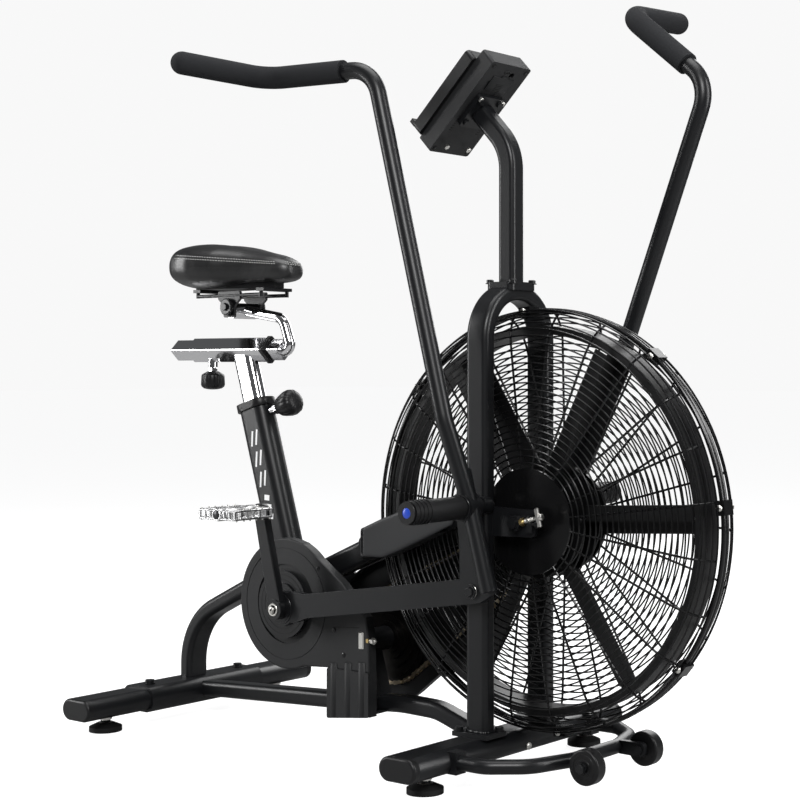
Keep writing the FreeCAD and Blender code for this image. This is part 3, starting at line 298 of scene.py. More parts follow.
def slab(b, c, ax, ay, az, sx, sy, sz, ch=0.5):
    """chamfered block about c with half axes along ax, ay, az (unit) and full sizes"""
    ax, ay, az, c = V3(ax).normalized(), V3(ay).normalized(), V3(az).normalized(), V3(c)
    ch = min(ch, sx / 3, sy / 3, sz / 3)
    hx, hy, hz = sx / 2, sy / 2, sz / 2
    vs, fs = [], []
    def rect(z, k):
        i0 = len(vs)
        x, y = hx - k, hy - k
        for px, py in ((x - ch, -y), (x, -y + ch), (x, y - ch), (x - ch, y), (-x + ch, y), (-x, y - ch), (-x, -y + ch), (-x + ch, -y)):
            vs.append(c + ax * px + ay * py + az * z)
        return i0
    r = [rect(-hz, ch), rect(-hz + ch, 0), rect(hz - ch, 0), rect(hz, ch)]
    for a, e in zip(r, r[1:]):
        for i in range(8):
            k = (i + 1) % 8
            fs.append([a + i, a + k, e + k, e + i])
    fs.append([r[0] + i for i in range(8)][::-1])
    fs.append([r[3] + i for i in range(8)])
    b.add(vs, fs)


def bar(b, p, q, w, h, up=(0, 0, 1), ch=0.5):
    p, q = V3(p), V3(q)
    d = (q - p).normalized()
    up = (V3(up) - d * V3(up).dot(d)).normalized()
    slab(b, (p + q) / 2, d, d.cross(up), up, (q - p).length, w, h, ch)


def sweep(b, pts, r, seg=14, closed=False, rad=None):
    pts = [V3(p) for p in pts]
    n = len(pts)
    vs, fs = [], []
    up = None
    for i, p in enumerate(pts):
        if closed:
            t = pts[(i + 1) % n] - pts[i - 1]
        else:
            t = pts[min(i + 1, n - 1)] - pts[max(i - 1, 0)]
        t.normalize()
        if up is None:
            up = V3((0, 0, 1)) if abs(t.z) < 0.8 else V3((1, 0, 0))
        up = (up - t * up.dot(t)).normalized()
        s = t.cross(up)
        rr = rad[i] if rad else r
        for k in range(seg):
            a = 2 * math.pi * k / seg
            vs.append(p + (up * math.cos(a) + s * math.sin(a)) * rr)
    m = n if closed else n - 1
    for i in range(m):
        j = (i + 1) % n
        for k in range(seg):
            l = (k + 1) % seg
            fs.append([i * seg + k, i * seg + l, j * seg + l, j * seg + k])
    if not closed:
        fs.append(list(range(seg))[::-1])
        fs.append([(n - 1) * seg + k for k in range(seg)])
    b.add(vs, fs)


def rounded(pts, rad, step=8):
    """round the corners of a 3-D polyline"""
    pts = [V3(p) for p in pts]
    out = [pts[0]]
    for i in range(1, len(pts) - 1):
        a, c, e = pts[i - 1], pts[i], pts[i + 1]
        u, v = (a - c).normalized(), (e - c).normalized()
        ang = u.angle(v)
        t = min(rad / math.tan(ang / 2), (a - c).length * 0.48, (e - c).length * 0.48)
        p, q = c + u * t, c + v * t
        for k in range(step + 1):
            s = k / step
            out.append(p * (1 - s) ** 2 + c * 2 * s * (1 - s) + q * s * s)
    out.append(pts[-1])
    return out


BB = (-479.0, 247.0)
JK = (-330.0, 185.0)
FC = (75.0, 426.0)
CR = 175.0
XU, YU, ZU = V3((1, 0, 0)), V3((0, 1, 0)), V3((0, 0, 1))

# ------------------------------------------------------------------ fixings on the frame
zb = Batch("bolts_zinc", "frame", M_ZINC, "zinc")
bb = Batch("bolts_black", "frame", M_FORGED, "black_frame")
br = Batch("nuts_brass", "frame", M_BRASS, "zinc")
# this dark batch is painted shade: sockets, bolt recesses and the cover's seam groove on the frame parts
dk = Batch("frame_painted_recess_shade", "frame", M_PAINTED_SHADE, "black_plastic")
wb = Batch("weld_beads", "frame", M_FRAME, "black_frame")
for i in range(8):
    a = math.radians(6 + 45 * i)
    c = V3((FC[0] + 352 * math.cos(a), 0, FC[1] + 352 * math.sin(a)))
    hexh(zb, c + YU * 16.8, (0, 1, 0), 5.6, 3.6, 0.5)
    lathe(zb, c - YU * 16.8, (0, -1, 0), [(0, 5.4), (1.2, 5.2), (2.4, 4.2), (3.0, 2.6)], 28)
    # dark hexagon on each button head: painted shade of its socket
    lathe(dk, c - YU * 19.3, (0, -1, 0), [(0, 1.9), (0.7, 1.9)], 6)
for x, z, r in ((-355.4, 209.7, 4.2), (-331.6, 167.1, 4.2), (-396, 318, 3.6), (-300, 249, 3.6)):
    # dark discs round the cover bolts: painted shade in their recesses; dark hexagons on top: painted shade of the
    # sockets
    lathe(dk, (x, -63.7, z), (0, -1, 0), [(0, r + 1.0), (0.5, r + 0.8)], 28)
    lathe(bb, (x, -63.9, z), (0, -1, 0), [(0, r), (0.9, r), (1.4, r - 0.8)], 28)
    lathe(dk, (x, -65.2, z), (0, -1, 0), [(0, 1.6), (0.3, 1.6)], 6)
# thin dark line along the cover: painted shade in its seam groove
bar(dk, (-353, -64.05, 215.3), (-293.9, -64.05, 218.8), 0.8, 1.5, ch=0.1)
# chain tensioner at the cover's edge
slab(zb, (-289, -58, 196.5), (1, 0, 0), (0, 1, 0), (0, 0, 1), 12, 16, 32, 2.0)
lathe(zb, (-284, -60, 197.5), (1, 0, 0), [(0, 3.2), (26, 3.2), (27, 2.5)], 24)
for i in range(14):
    ring_l(zb, (-281 + 1.6 * i, -60, 197.5), (1, 0, 0), 3.6, 3.0, 0.8, 24, 0.25)
hexh(zb, (-266, -60, 197.5), (1, 0, 0), 6.4, 5.5, 0.7)
hexh(br, (-276, -60, 197.5), (1, 0, 0), 6.2, 4.5, 0.6)
for sy in (-1, 1):
    yc_ = 84.5 * sy
    slab(zb, (123.3, yc_, 437.4), (0.968, 0, 0.252), (0, 1, 0), (-0.252, 0, 0.968), 8.6, 6.5, 33, 1.6)
    lathe(zb, (120.5, yc_, 436.7), (-0.968, 0, -0.252), [(0, 3.4), (30, 3.4), (31, 2.6)], 24)
    for i in range(12):
        ring_l(zb, (114.5 - 1.5 * i, yc_, 435.1 - 0.39 * i), (-0.968, 0, -0.252), 3.8, 3.2, 0.75, 24, 0.25)
    hexh(zb, (106.5, yc_, 433.1), (-0.968, 0, -0.252), 6.8, 5.0, 0.7)
    hexh(br, (94.0, yc_, 429.8), (-0.968, 0, -0.252), 7.0, 7.0, 0.9)
    lathe(zb, (127.0, yc_, 438.4), (0.968, 0, 0.252), [(0, 6.2), (3.0, 6.2), (5.5, 4.6), (6.2, 2.6)], 28)
lathe(zb, (34.6, 4.8, 39.8), (1, 0, 0), [(0, 6.4), (1.2, 6.2), (2.0, 4.8), (2.2, 2.0)], 28)
# arch clamp: two black cap screws on each flank; the tab to the left is not made here
for sy in (-1, 1):
    for x in (-24, 24):
        lathe(bb, (x, sy * 27, 823), (0, 0, 1), [(0, 8), (1.2, 8), (1.3, 6.2), (6.4, 6.2), (7.2, 5.4)], 32)
        # dark hexagon on each cap screw: painted shade of its socket
        lathe(dk, (x, sy * 27, 829.9), (0, 0, 1), [(0, 3), (0.5, 3)], 6)
# weld beads round the feet of the two legs
def bead(path, r=2.6):
    n = len(path)
    rad = [r * (0.86 + 0.22 * math.sin(i * 1.9) * math.sin(i * 0.7 + 1)) for i in range(n)]
    sweep(wb, path, r, 8, True, rad)


def rr_loop(cx, cy, hx, hy, rad, z, n=14):
    out = []
    for sx_, sy_, a0 in ((1, 1, 0), (-1, 1, 90), (-1, -1, 180), (1, -1, 270)):
        for i in range(n):
            a = math.radians(a0 + 90 * i / (n - 1))
            out.append((cx + sx_ * (hx - rad) + rad * math.cos(a), cy + sy_ * (hy - rad) + rad * math.sin(a), z))
    full = []
    for p, q in zip(out, out[1:] + out[:1]):
        k = max(1, int((V3(q) - V3(p)).length / 2.2))
        for j in range(k):
            full.append(tuple(V3(p).lerp(V3(q), j / k)))
    return full


for sy in (-1, 1):
    bead(rr_loop(0, sy * 82, 22.6, 13.9, 9, 77))
# foot pegs: coloured end plugs
pg = Batch("peg_plugs", "frame", M_BLUE, "peg_rubber")
pr = Batch("peg_end_rings", "frame", M_PEG, "peg_rubber")
for sy in (-1, 1):
    ring_l(pr, (15, sy * 280.6, 453), (0, sy, 0), 18.2, 8.6, 1.4, 48, 0.6)
    lathe(pg, (15, sy * 280.4, 453), (0, sy, 0), [(0, 8.4), (1.2, 8.4), (2.0, 7.2), (2.5, 5.0), (2.7, 1.0)], 36)
# a plain slanted motif down the seat tube
mb = Batch("seat_tube_motif", "frame", M_WHITE, "grey_plastic")
ax = V3((-math.sin(math.radians(17)), 0, math.cos(math.radians(17))))
fx = V3((math.cos(math.radians(17)), 0, math.sin(math.radians(17))))
top = V3((-626, 0, 613))
for sy in (-1, 1):
    for k, (s0, ln) in enumerate(((52, 34), (92, 34), (132, 34), (180, 12), (198, 12), (216, 12))):
        c = top - ax * (s0 + ln / 2) + YU * sy * 22.75
        tilt = (ax * 0.94 + fx * 0.34).normalized()
        for off in ((-6, 6) if k < 3 else (0,)):
            slab(mb, c + fx * off, tilt, YU, tilt.cross(YU), ln * 0.86, 0.5, 4.2 if k < 3 else 13, 0.12)

# ------------------------------------------------------------------ cranks, links, levers
zc_ = Batch("crank_bolts", "crank", M_ZINC, "zinc")
# this dark batch is painted shade: the crank bolt sockets and the steps on the chainring face
dc = Batch("crank_painted_recess_shade", "crank", M_PAINTED_SHADE, "black_plastic")
for s in (1, -1):
    px, pz_ = BB[0] + s * 40, BB[1]
    y = -132.9 * s
    ring_l(zc_, (px, y, pz_), (0, -s, 0), 11.5, 8.4, 1.6, 40)
    hexh(zc_, (px, y + 0.2 * s, pz_), (0, -s, 0), 7.6, 5.4, 0.9, 4, x=(math.cos(0.35), 0, math.sin(0.35)))
    lathe(zc_, (px, y - 4.8 * s, pz_), (0, -s, 0), [(0, 4.4), (1.2, 4.4), (1.6, 3.6)], 28)
    # dark hexagon: painted shade of the crank bolt socket
    lathe(dc, (px, y - 6.35 * s, pz_), (0, -s, 0), [(0, 2.1), (0.25, 2.1)], 6)
    ex, ez = BB[0], BB[1] + s * CR
    lathe(zc_, (ex, -132 * s, ez), (0, -s, 0), [(0, 9.5), (0.8, 9.5), (1.0, 8.6), (2.2, 8.6), (2.6, 8.0)], 32)
    # thin dark rings: painted shade at the steps of the chainring face
    for k, r in enumerate((36, 46, 55)):
        ring_l(dc, (BB[0], (-72.0 if s > 0 else 79.95), BB[1]), (0, -s, 0), r, r - 1.2, 0.25, 72, 0.05)
for nm, s in (("right", 1), ("left", -1)):
    lz = Batch("link_bearing_" + nm, "link_%s_body" % nm, M_ZINC, "zinc")
    cx = BB[0] + s * 40
    lk = Batch("link_rings_" + nm, "link_%s_body" % nm, M_FORGED, "black_frame")
    ring_l(lk, (cx, -113.9 * s, BB[1]), (0, -s, 0), 27.6, 24.3, 1.5, 64)
    gx, gz = ((17.46, 314.04) if s > 0 else (-67.33, 341.03))
    lathe(lz, (gx, -98.9 * s, gz), (0, s, 0), [(0, 12), (0.8, 12), (1.0, 11.4)], 36)
    hexh(lz, (gx, -97.9 * s, gz), (0, s, 0), 9.5, 1.9, 0.5)
    lv = Batch("lever_bolts_" + nm, "lever_%s_body" % nm, M_ZINC, "zinc")
    lb = Batch("lever_nuts_" + nm, "lever_%s_body" % nm, M_FORGED, "black_frame")
    ring_l(lv, (gx, -126.9 * s, gz), (0, -s, 0), 12.2, 7.0, 1.9, 48, 0.4)
    hexh(lb, (gx, -128.6 * s, gz), (0, -s, 0), 8.5, 6.2, 0.9)
    ring_l(lb, (15, -151.5 * s, 453), (0, -s, 0), 21, 15.2, 1.6, 48)

# ------------------------------------------------------------------ feet: zinc stem and lock nut
for nm, x, y in (("rear_right", -800, -216), ("rear_left", -800, 216), ("front_right", -4, -216), ("front_left", -4, 216)):
    ft = Batch("foot_stem_" + nm, "leveller_" + nm, M_ZINC, "zinc")
    lathe(ft, (x, y, 15.5), (0, 0, 1), [(0, 7.4), (8, 7.4), (8.4, 7.1)], 32)
    hexh(ft, (x, y, 21.4), (0, 0, 1), 12.0, 6.2, 1.0)
    lathe(ft, (x, y, 14.6), (0, 0, 1), [(0, 13), (1.4, 13), (1.9, 12.2)], 40)

# ------------------------------------------------------------------ transport wheels
for nm, sy in (("right", -1), ("left", 1)):
    wz = Batch("wheel_hub_" + nm, "wheel_%s_body" % nm, M_BLACKP, "black_plastic")
    ring_l(wz, (221, sy * 94.6, 47), (0, sy, 0), 21.5, 19.5, 0.9, 56, 0.3)
    ring_l(wz, (221, sy * 94.6, 47), (0, sy, 0), 13.5, 10.2, 1.3, 48, 0.4)
    hexh(bb, (221, sy * 99.5, 47), (0, sy, 0), 8.0, 6.6, 0.9)

# ------------------------------------------------------------------ console back and front
ct, st = math.cos(math.radians(43.9)), math.sin(math.radians(43.9))
CC, EL, EN = V3((-68.5, 0, 1125.3)), V3((ct, 0, st)), V3((-st, 0, ct))


def cp(l, y, n):
    return CC + EL * l + YU * y + EN * n


cb = Batch("console_back_panels", "frame", M_COVER, "cover_plastic")
slab(cb, cp(57.5, 0, -0.7), EL, YU, EN, 31, 54, 2.0, 0.7)
slab(cb, cp(74.5, 0, -1.0), EL, YU, EN, 3.6, 14, 2.4, 0.6)
# dark bars on the back panel: painted shade in the vent slots
for k in range(5):
    bar(dk, cp(46 + 3.2 * k, -9, -1.95), cp(46 + 3.2 * k, 9, -1.95), 0.9, 0.5, up=EN, ch=0.1)
# dark discs under the corner screws: painted shade in the screw pockets
for l in (-92, 92):
    for y in (-43, 43):
        lathe(dk, cp(l, y, 0.25), -EN, [(0, 4.6), (0.6, 4.4)], 28)
        lathe(bb, cp(l, y, 0.1), -EN, [(0, 2.7), (0.9, 2.6), (1.4, 1.6)], 24)
ring_ = [tuple(cp(84.5 + 3.4 * math.sin(2 * math.pi * i / 36), 6.5 * math.cos(2 * math.pi * i / 36), -0.3)) for i in range(36)]
sweep(cb, ring_, 1.2, 8, True)
# dark slab inside the grommet: painted shade in the cable port
slab(dk, cp(84.5, 0, -0.15), EL, YU, EN, 4.6, 11, 0.5, 0.1)
cable = rounded([cp(84.5, 0, 1), cp(84.5, 0, -13), cp(62, 0, -27), cp(40, 0, -26), cp(28, 0, -13)], 12)
for l in (27, -79.5):
    for y in (-28.5, 28.5):
        hexh(zb, cp(l if l > 0 else l, y, -8.0), -EN, 5.2, 3.6, 0.6)
# short dark bars along both sides of the face: painted shade in the slits
for k in range(7):
    bar(dk, cp(-20 - 5 * k, -40, 0.1), cp(-20 - 5 * k, -31, 0.1), 1.6, 0.5, up=EN, ch=0.1)
    bar(dk, cp(-20 - 5 * k, 31, 0.1), cp(-20 - 5 * k, 40, 0.1), 1.6, 0.5, up=EN, ch=0.1)
ls = Batch("lcd_digits", "frame", M_LCDSEG, "screen")
SEG = {"0": "abcdef", "1": "bc", "2": "abged", "3": "abgcd", "5": "afgcd", "8": "abcdefg"}


def digit(ch, l, y, h):
    w = h * 0.5
    q = {"a": ((h, -w), (h, w)), "g": ((0, -w), (0, w)), "d": ((-h, -w), (-h, w)), "f": ((h, w), (0, w)), "b": ((h, -w), (0, -w)), "e": ((0, w), (-h, w)), "c": ((0, -w), (-h, -w))}
    for s in SEG[ch]:
        (l0, y0), (l1, y1) = q[s]
        a, e = cp(l + l0, y + y0, 52.55), cp(l + l1, y + y1, 52.55)
        d = (e - a).normalized() * 0.7
        bar(ls, a + d, e - d, h * 0.17, 0.15, up=EN, ch=0.02)


for row, (l, h, txt) in enumerate(((48, 6, "000"), (30, 6, "000"), (4, 9, "00"), (-18, 6, "000"))):
    for i, chh in enumerate(txt):
        digit(chh, l, (len(txt) - 1) * h * 0.8 - i * h * 1.6, h)
for l in (39, 18, -8):
    bar(ls, cp(l, -40, 52.5), cp(l, 40, 52.5), 0.5, 0.12, up=EN, ch=0.02)

# ------------------------------------------------------------------ fan hub, blades
fz = Batch("fan_rivets", "fan", M_FAN, "fan_black")
for i in range(6):
    a = math.radians(3 + 60 * i)
    u = V3((math.cos(a), 0, math.sin(a)))
    t = V3((-math.sin(a), 0, math.cos(a)))
    for r in (72, 88):
        c = V3((FC[0], 0, FC[1])) + u * r
        lathe(fz, c - YU * 23.9, (0, -1, 0), [(0, 4.4), (1.2, 4.2), (2.2, 3.0), (2.7, 1.0)], 20)
        lathe(fz, c + YU * 23.9, (0, 1, 0), [(0, 4.4), (1.2, 4.2), (2.2, 3.0), (2.7, 1.0)], 20)

# ------------------------------------------------------------------ roller chains
def chain(name, c1, r1, c2, r2, y, node, body, slot):
    b = Batch(name, body, M_CHAIN, slot)
    a, e = V3((c1[0], 0, c1[1])), V3((c2[0], 0, c2[1]))
    v = e - a
    L = v.length
    base, k = math.atan2(v.z, v.x), math.acos((r1 - r2) / L)
    def pt(c, r, an):
        return V3((c.x + r * math.cos(an), y, c.z + r * math.sin(an)))
    path = []
    for i in range(121):
        path.append(pt(a, r1, base + k + (2 * math.pi - 2 * k) * i / 120))
    for i in range(121):
        path.append(pt(e, r2, base - k + 2 * k * i / 120))
    path.append(path[0])
    cum = [0]
    for p, q in zip(path, path[1:]):
        cum.append(cum[-1] + (q - p).length)
    n = int(round(cum[-1] / 12.7 / 2)) * 2
    pos, j = [], 0
    for i in range(n):
        s = cum[-1] * i / n
        while cum[j + 1] < s:
            j += 1
        f = (s - cum[j]) / max(1e-9, cum[j + 1] - cum[j])
        pos.append(path[j].lerp(path[j + 1], f))
    for i in range(n):
        p, q = pos[i], pos[(i + 1) % n]
        lathe(b, p - YU * 2.6, (0, 1, 0), [(0, 3.9), (5.2, 3.9)], 14)
        lathe(b, p - YU * 4.9, (0, 1, 0), [(0, 1.6), (0.3, 1.9), (9.5, 1.9), (9.8, 1.6)], 12)
        d = (q - p).normalized()
        u = d.cross(YU)
        for sy in (-1, 1):
            y0 = 3.7 if i % 2 else 2.75
            vs, m = [], []
            for cc, a0 in ((q, -90), (p, 90)):
                for t in range(7):
                    an = math.radians(a0 + 180 * t / 6)
                    m.append(cc + (d * math.cos(an) + u * math.sin(an)) * 4.1)
                an = None
                mid = (p + q) / 2
                m.append(mid + u * (2.9 if cc is q else -2.9))
            w = len(m)
            for o in (y0, y0 + 0.85):
                vs += [mm + YU * sy * o for mm in m]
            fs = [[i2, (i2 + 1) % w, w + (i2 + 1) % w, w + i2] for i2 in range(w)] + [list(range(w))[::-1], [w + i2 for i2 in range(w)]]
            b.add(vs, fs)
    o = b.make(30)
    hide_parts(node)
    del Batch.all[name]


def pitch_r(n):
    return 12.7 / (2 * math.sin(math.pi / n))


chain("roller_chain_first_stage", BB, pitch_r(48), JK, pitch_r(16), -52, "chain_primary", "frame", "chain_steel")
chain("roller_chain_second_stage", JK, pitch_r(42), FC, pitch_r(16), 62, "chain_secondary", "frame", "chain_steel")

# ------------------------------------------------------------------ cast platform pedals
def pedal(nm, s):
    body = "pedal_%s_body" % nm
    b = Batch("pedal_cast_" + nm, body, M_ALLOY, "alloy")
    k = Batch("pedal_bearing_" + nm, body, M_BEARING, "black_plastic")
    z0 = Batch("pedal_pins_" + nm, body, M_ZINC, "zinc")
    cx, cz = BB[0], BB[1] + s * CR
    def P(x, y, z):
        """x fore-aft, y outward from the crank, z up, about the pedal centre"""
        return V3((cx + s * x, -s * (185 + y), cz + s * z))
    # barrel
    d = V3((0, -s, 0))
    lathe(b, P(0, -45, 0), d, [(0, 10.5), (2, 12.5), (18, 12.5), (22, 10.5), (66, 10.5), (70, 12), (86, 12), (89, 10.4)], 36)
    lathe(k, P(0, 44.2, 0), d, [(0, 8.2), (1.2, 8.2), (1.8, 7.0)], 32)
    ring_l(b, P(0, 44, 0), d, 10.8, 8.3, 2.0, 40)
    # end plates with arched windows: rails above and below, posts between
    for y in (-43, 43):
        for z in (-7.5, 7.5):
            bar(b, P(-45, y, z), P(45, y, z), 4.6, 3.6, ch=0.9)
        for x in (-44.5, -31, -18, 18, 31, 44.5):
            bar(b, P(x, y, -8), P(x, y, 8), 4.2, 4.0, up=XU, ch=0.8)
    for x in (-45, 45):
        for z in (-7, 7):
            bar(b, P(x, -44, z), P(x, 44, z), 4.4, 4.2, ch=0.9)
        for y in (-43, -29, -14.5, 0, 14.5, 29, 43):
            bar(b, P(x, y, -8), P(x, y, 8), 4.0, 4.0, up=YU, ch=0.8)
    # cross ribs, straight and curved
    for y in (-29, 29):
        for sx_ in (-1, 1):
            bar(b, P(sx_ * 9, y, 0), P(sx_ * 45, y, 0), 3.6, 13, ch=0.8)
    for sx_ in (-1, 1):
        bar(b, P(sx_ * 8, -12, 0), P(sx_ * 44, -27, 0), 3.2, 11, ch=0.8)
        bar(b, P(sx_ * 8, 12, 0), P(sx_ * 44, 27, 0), 3.2, 11, ch=0.8)
        arc = [P(sx_ * (44 - 17 * math.sin(math.pi * i / 16)), -27 + 54 * i / 16, 6.0) for i in range(17)]
        sweep(b, arc, 2.1, 10)
        arc = [P(sx_ * (44 - 17 * math.sin(math.pi * i / 16)), -27 + 54 * i / 16, -6.0) for i in range(17)]
        sweep(b, arc, 2.1, 10)
        for y in (-39, -22, -7.5, 7.5, 22, 39):
            for zz in (1, -1):
                lathe(z0, P(sx_ * 45, y, zz * 8.6), V3((0, 0, s * zz)), [(0, 1.7), (2.1, 1.5), (2.7, 0.9)], 12)
    lathe(b, P(0, -49, 0), d, [(0, 8.6), (4.5, 8.6)], 32)
    o = b.make(32)
    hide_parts("pedal_" + nm)
    k.make()
    z0.make()
    for q in (b, k, z0):
        del Batch.all[q.name]


pedal("right", 1)
pedal("left", -1)

# ------------------------------------------------------------------ pull knobs
hk = Batch("height_knob_grip", "height_pin", M_BLACKP, "black_plastic")
hs = Batch("height_knob_stem", "height_pin", M_CHROME, "chrome")
kp_ = top - ax * 26
lathe(hs, kp_ + fx * 26, fx, [(0, 5.4), (30, 5.4)], 28)
lathe(hs, kp_ + fx * 40, fx, [(0, 9.2), (9, 9.2), (9.6, 8.6)], 36)
hexh(hs, kp_ + fx * 50, fx, 11, 8, 1.0)
lathe(hk, kp_ + fx * 60, fx, [(0, 13), (1.5, 15), (8, 19.5), (17, 22.6), (26, 24.6), (34, 24.9), (40, 23.4), (44.5, 19.5), (46.8, 12), (47.6, 3)], 112, 12, 0.035)
o = hk.make(60)
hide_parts("height_knob")
del Batch.all[hk.name]
sk = Batch("slide_knob_grip", "slide_pin", M_BLACKP, "black_plastic")
ss = Batch("slide_knob_stem", "slide_pin", M_CHROME, "chrome")
lathe(ss, (-747, 0, 660), (0, 0, 1), [(0, 4.9), (32.3, 4.9)], 28)
hexh(ss, (-747, 0, 674), (0, 0, 1), 8.5, 6, 0.8)
lathe(sk, (-747, 0, 674.5), (0, 0, -1), [(0, 8), (1.6, 12), (7, 21.2), (10, 22.2), (27, 23.0), (31, 21.5), (34.5, 17), (36.2, 9), (36.6, 3)], 112, 12, 0.035)
o = sk.make(60)
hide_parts("slide_knob")
del Batch.all[sk.name]

# ------------------------------------------------------------------ seat post and clamp
# dark disc on the post front: painted shade of an adjustment hole
ph = Batch("post_holes_painted_shade", "seat_mast", M_PAINTED_SHADE, "black_plastic")
lathe(ph, top + ax * 74 + fx * 24.6, fx, [(0, 4.4), (0.5, 4.4)], 28)
sd = Batch("saddle_clamp_discs", "saddle", M_FORGED, "black_frame")
sz = Batch("saddle_clamp_bolts", "saddle", M_FORGED, "black_frame")
for sy in (-1, 1):
    y0 = 37.5
    lathe(sd, (-662, sy * y0, 797), (0, sy, 0), [(0, 15), (1.5, 16.5), (6, 16.5), (7.5, 14.5)], 72, 24, 0.10)
    hexh(sz, (-662, sy * (y0 + 7.2), 797), (0, sy, 0), 7.5, 5.0, 0.8)

# ------------------------------------------------------------------ saddle
def saddle_mesh():
    st_ = [(-797, 46, 861, 894), (-791, 64, 850, 902), (-780, 82, 840, 910), (-757, 99, 834, 918), (-735, 103, 832, 920), (-712, 103, 831, 920), (-688, 96, 832, 918), (-664, 87, 834, 915), (-640, 71, 837, 911), (-611, 55, 840, 905), (-587, 47, 841, 900),
           (-564, 41, 841, 896), (-546, 36, 842, 891), (-530, 30, 844, 885), (-521, 23, 848, 880), (-516, 15, 852, 875)]
    n = 56
    vs, fs = [], []
    for x, hw, z0, z1 in st_:
        zc2, hz = (z0 + z1) / 2, (z1 - z0) / 2
        for i in range(n):
            a = 2 * math.pi * i / n
            c, s_ = math.cos(a), math.sin(a)
            e = 2 / 2.7
            yy = hw * math.copysign(abs(c) ** e, c)
            zz = hz * math.copysign(abs(s_) ** e, s_)
            if zz > 0:
                zz -= 3.2 * math.exp(-(yy / 13) ** 2) * min(1, max(0, (x + 782) / 40)) * min(1, max(0, (-548 - x) / 40))
            vs.append(W(x, yy, zc2 + zz))
    for j in range(len(st_) - 1):
        for i in range(n):
            k = (i + 1) % n
            fs.append([j * n + i, j * n + k, (j + 1) * n + k, (j + 1) * n + i])
    fs.append(list(range(n)))
    fs.append([(len(st_) - 1) * n + i for i in range(n)][::-1])
    me = bpy.data.meshes.new("saddle_cushion")
    me.from_pydata([tuple(v) for v in vs], [], fs)
    me.validate()
    return me


sad = bpy.data.objects.new("saddle_cushion", saddle_mesh())
bpy.context.scene.collection.objects.link(sad)
bpy.context.view_layer.objects.active = sad
sad.select_set(True)
rm = sad.modifiers.new("r", "REMESH")
rm.mode = "VOXEL"
rm.voxel_size = 0.0044
sm = sad.modifiers.new("s", "SMOOTH")
sm.iterations = 4
for m_ in ("r", "s"):
    bpy.ops.object.modifier_apply(modifier=m_)
vg = sad.vertex_groups.new(name="pin")
zlo = W(0, 0, 866).z
for v_ in sad.data.vertices:
    w_ = 1.0 if v_.co.z < zlo else max(0.0, 1 - (v_.co.z - zlo) / 0.012)
    if w_ > 0:
        vg.add([v_.index], w_, "REPLACE")
rest = [v_.co.copy() for v_ in sad.data.vertices]
cl = sad.modifiers.new("cloth", "CLOTH")
cs_ = cl.settings
cs_.quality = 6
cs_.mass = 0.3
cs_.tension_stiffness = 12
cs_.compression_stiffness = 8
cs_.shear_stiffness = 6
cs_.bending_stiffness = 1.5
cs_.vertex_group_mass = "pin"
cs_.use_pressure = True
cs_.uniform_pressure_force = 3.2
cs_.effector_weights.gravity = 0
cl.point_cache.frame_start = 1
cl.point_cache.frame_end = 20
sc = bpy.context.scene
for f_ in range(1, 21):
    sc.frame_set(f_)
dg = bpy.context.evaluated_depsgraph_get()
ev = sad.evaluated_get(dg).data
new = [v_.co.copy() for v_ in ev.vertices]
sad.modifiers.remove(cl)
sc.frame_set(1)
for v_, a_, b_ in zip(sad.data.vertices, rest, new):
    d_ = b_ - a_
    if d_.length > 0.003:
        d_ = d_.normalized() * 0.003
    v_.co = a_ + d_
sb = sad.modifiers.new("sub", "SUBSURF")
sb.levels = sb.render_levels = 1
s2 = sad.modifiers.new("s2", "SMOOTH")
s2.iterations = 3
for m_ in ("sub", "s2"):
    bpy.ops.object.modifier_apply(modifier=m_)
sad.data.polygons.foreach_set("use_smooth", [True] * len(sad.data.polygons))
sad.data.materials.append(M_VINYL)
sad.data.materials.append(M_VINYL2)
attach(sad, "saddle")
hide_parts("saddle_pad")

from mathutils.bvhtree import BVHTree

bvh = BVHTree.FromPolygons([v_.co for v_ in sad.data.vertices], [list(p_.vertices) for p_ in sad.data.polygons])


def seam(h, push=0.0002):
    """closed line round the cushion at share h of its local height; it dips towards the nose"""
    out = []
    n = 480
    for i in range(n):
        t = 2 * math.pi * i / n
        cx_ = -655 + 134 * math.cos(t)
        k_ = max(0.0, min(1.0, (cx_ + 797) / 281.0))
        zb_, zt_ = 836 + 8 * k_, 917 - 32 * k_
        hh = h
        ox = min(-548, max(-735, cx_))
        o_ = W(ox, 0, zb_ + (zt_ - zb_) * hh)
        d_ = V3((math.cos(t) if (cx_ > -548 or cx_ < -735) else math.cos(t) * 0.12, math.sin(t), 0)).normalized()
        hit = bvh.ray_cast(o_, d_)
        if hit[0] is not None:
            out.append((hit[0] + hit[1] * push, hit[1]))
    return out


def resample(loop, step):
    pts = [p for p, _ in loop]
    nn = [m for _, m in loop]
    out, acc = [], 0.0
    n = len(pts)
    for i in range(n):
        a_, b_ = pts[i], pts[(i + 1) % n]
        L = (b_ - a_).length
        while acc < L:
            out.append((a_.lerp(b_, acc / L), (b_ - a_).normalized(), nn[i]))
            acc += step
        acc -= L
    return out


def raw(name, body, material, vs, fs):
    me = bpy.data.meshes.new(name)
    me.from_pydata([tuple(v_) for v_ in vs], [], fs)
    me.polygons.foreach_set("use_smooth", [True] * len(me.polygons))
    me.materials.append(material)
    o_ = bpy.data.objects.new(name, me)
    bpy.context.scene.collection.objects.link(o_)
    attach(o_, body)
    return o_


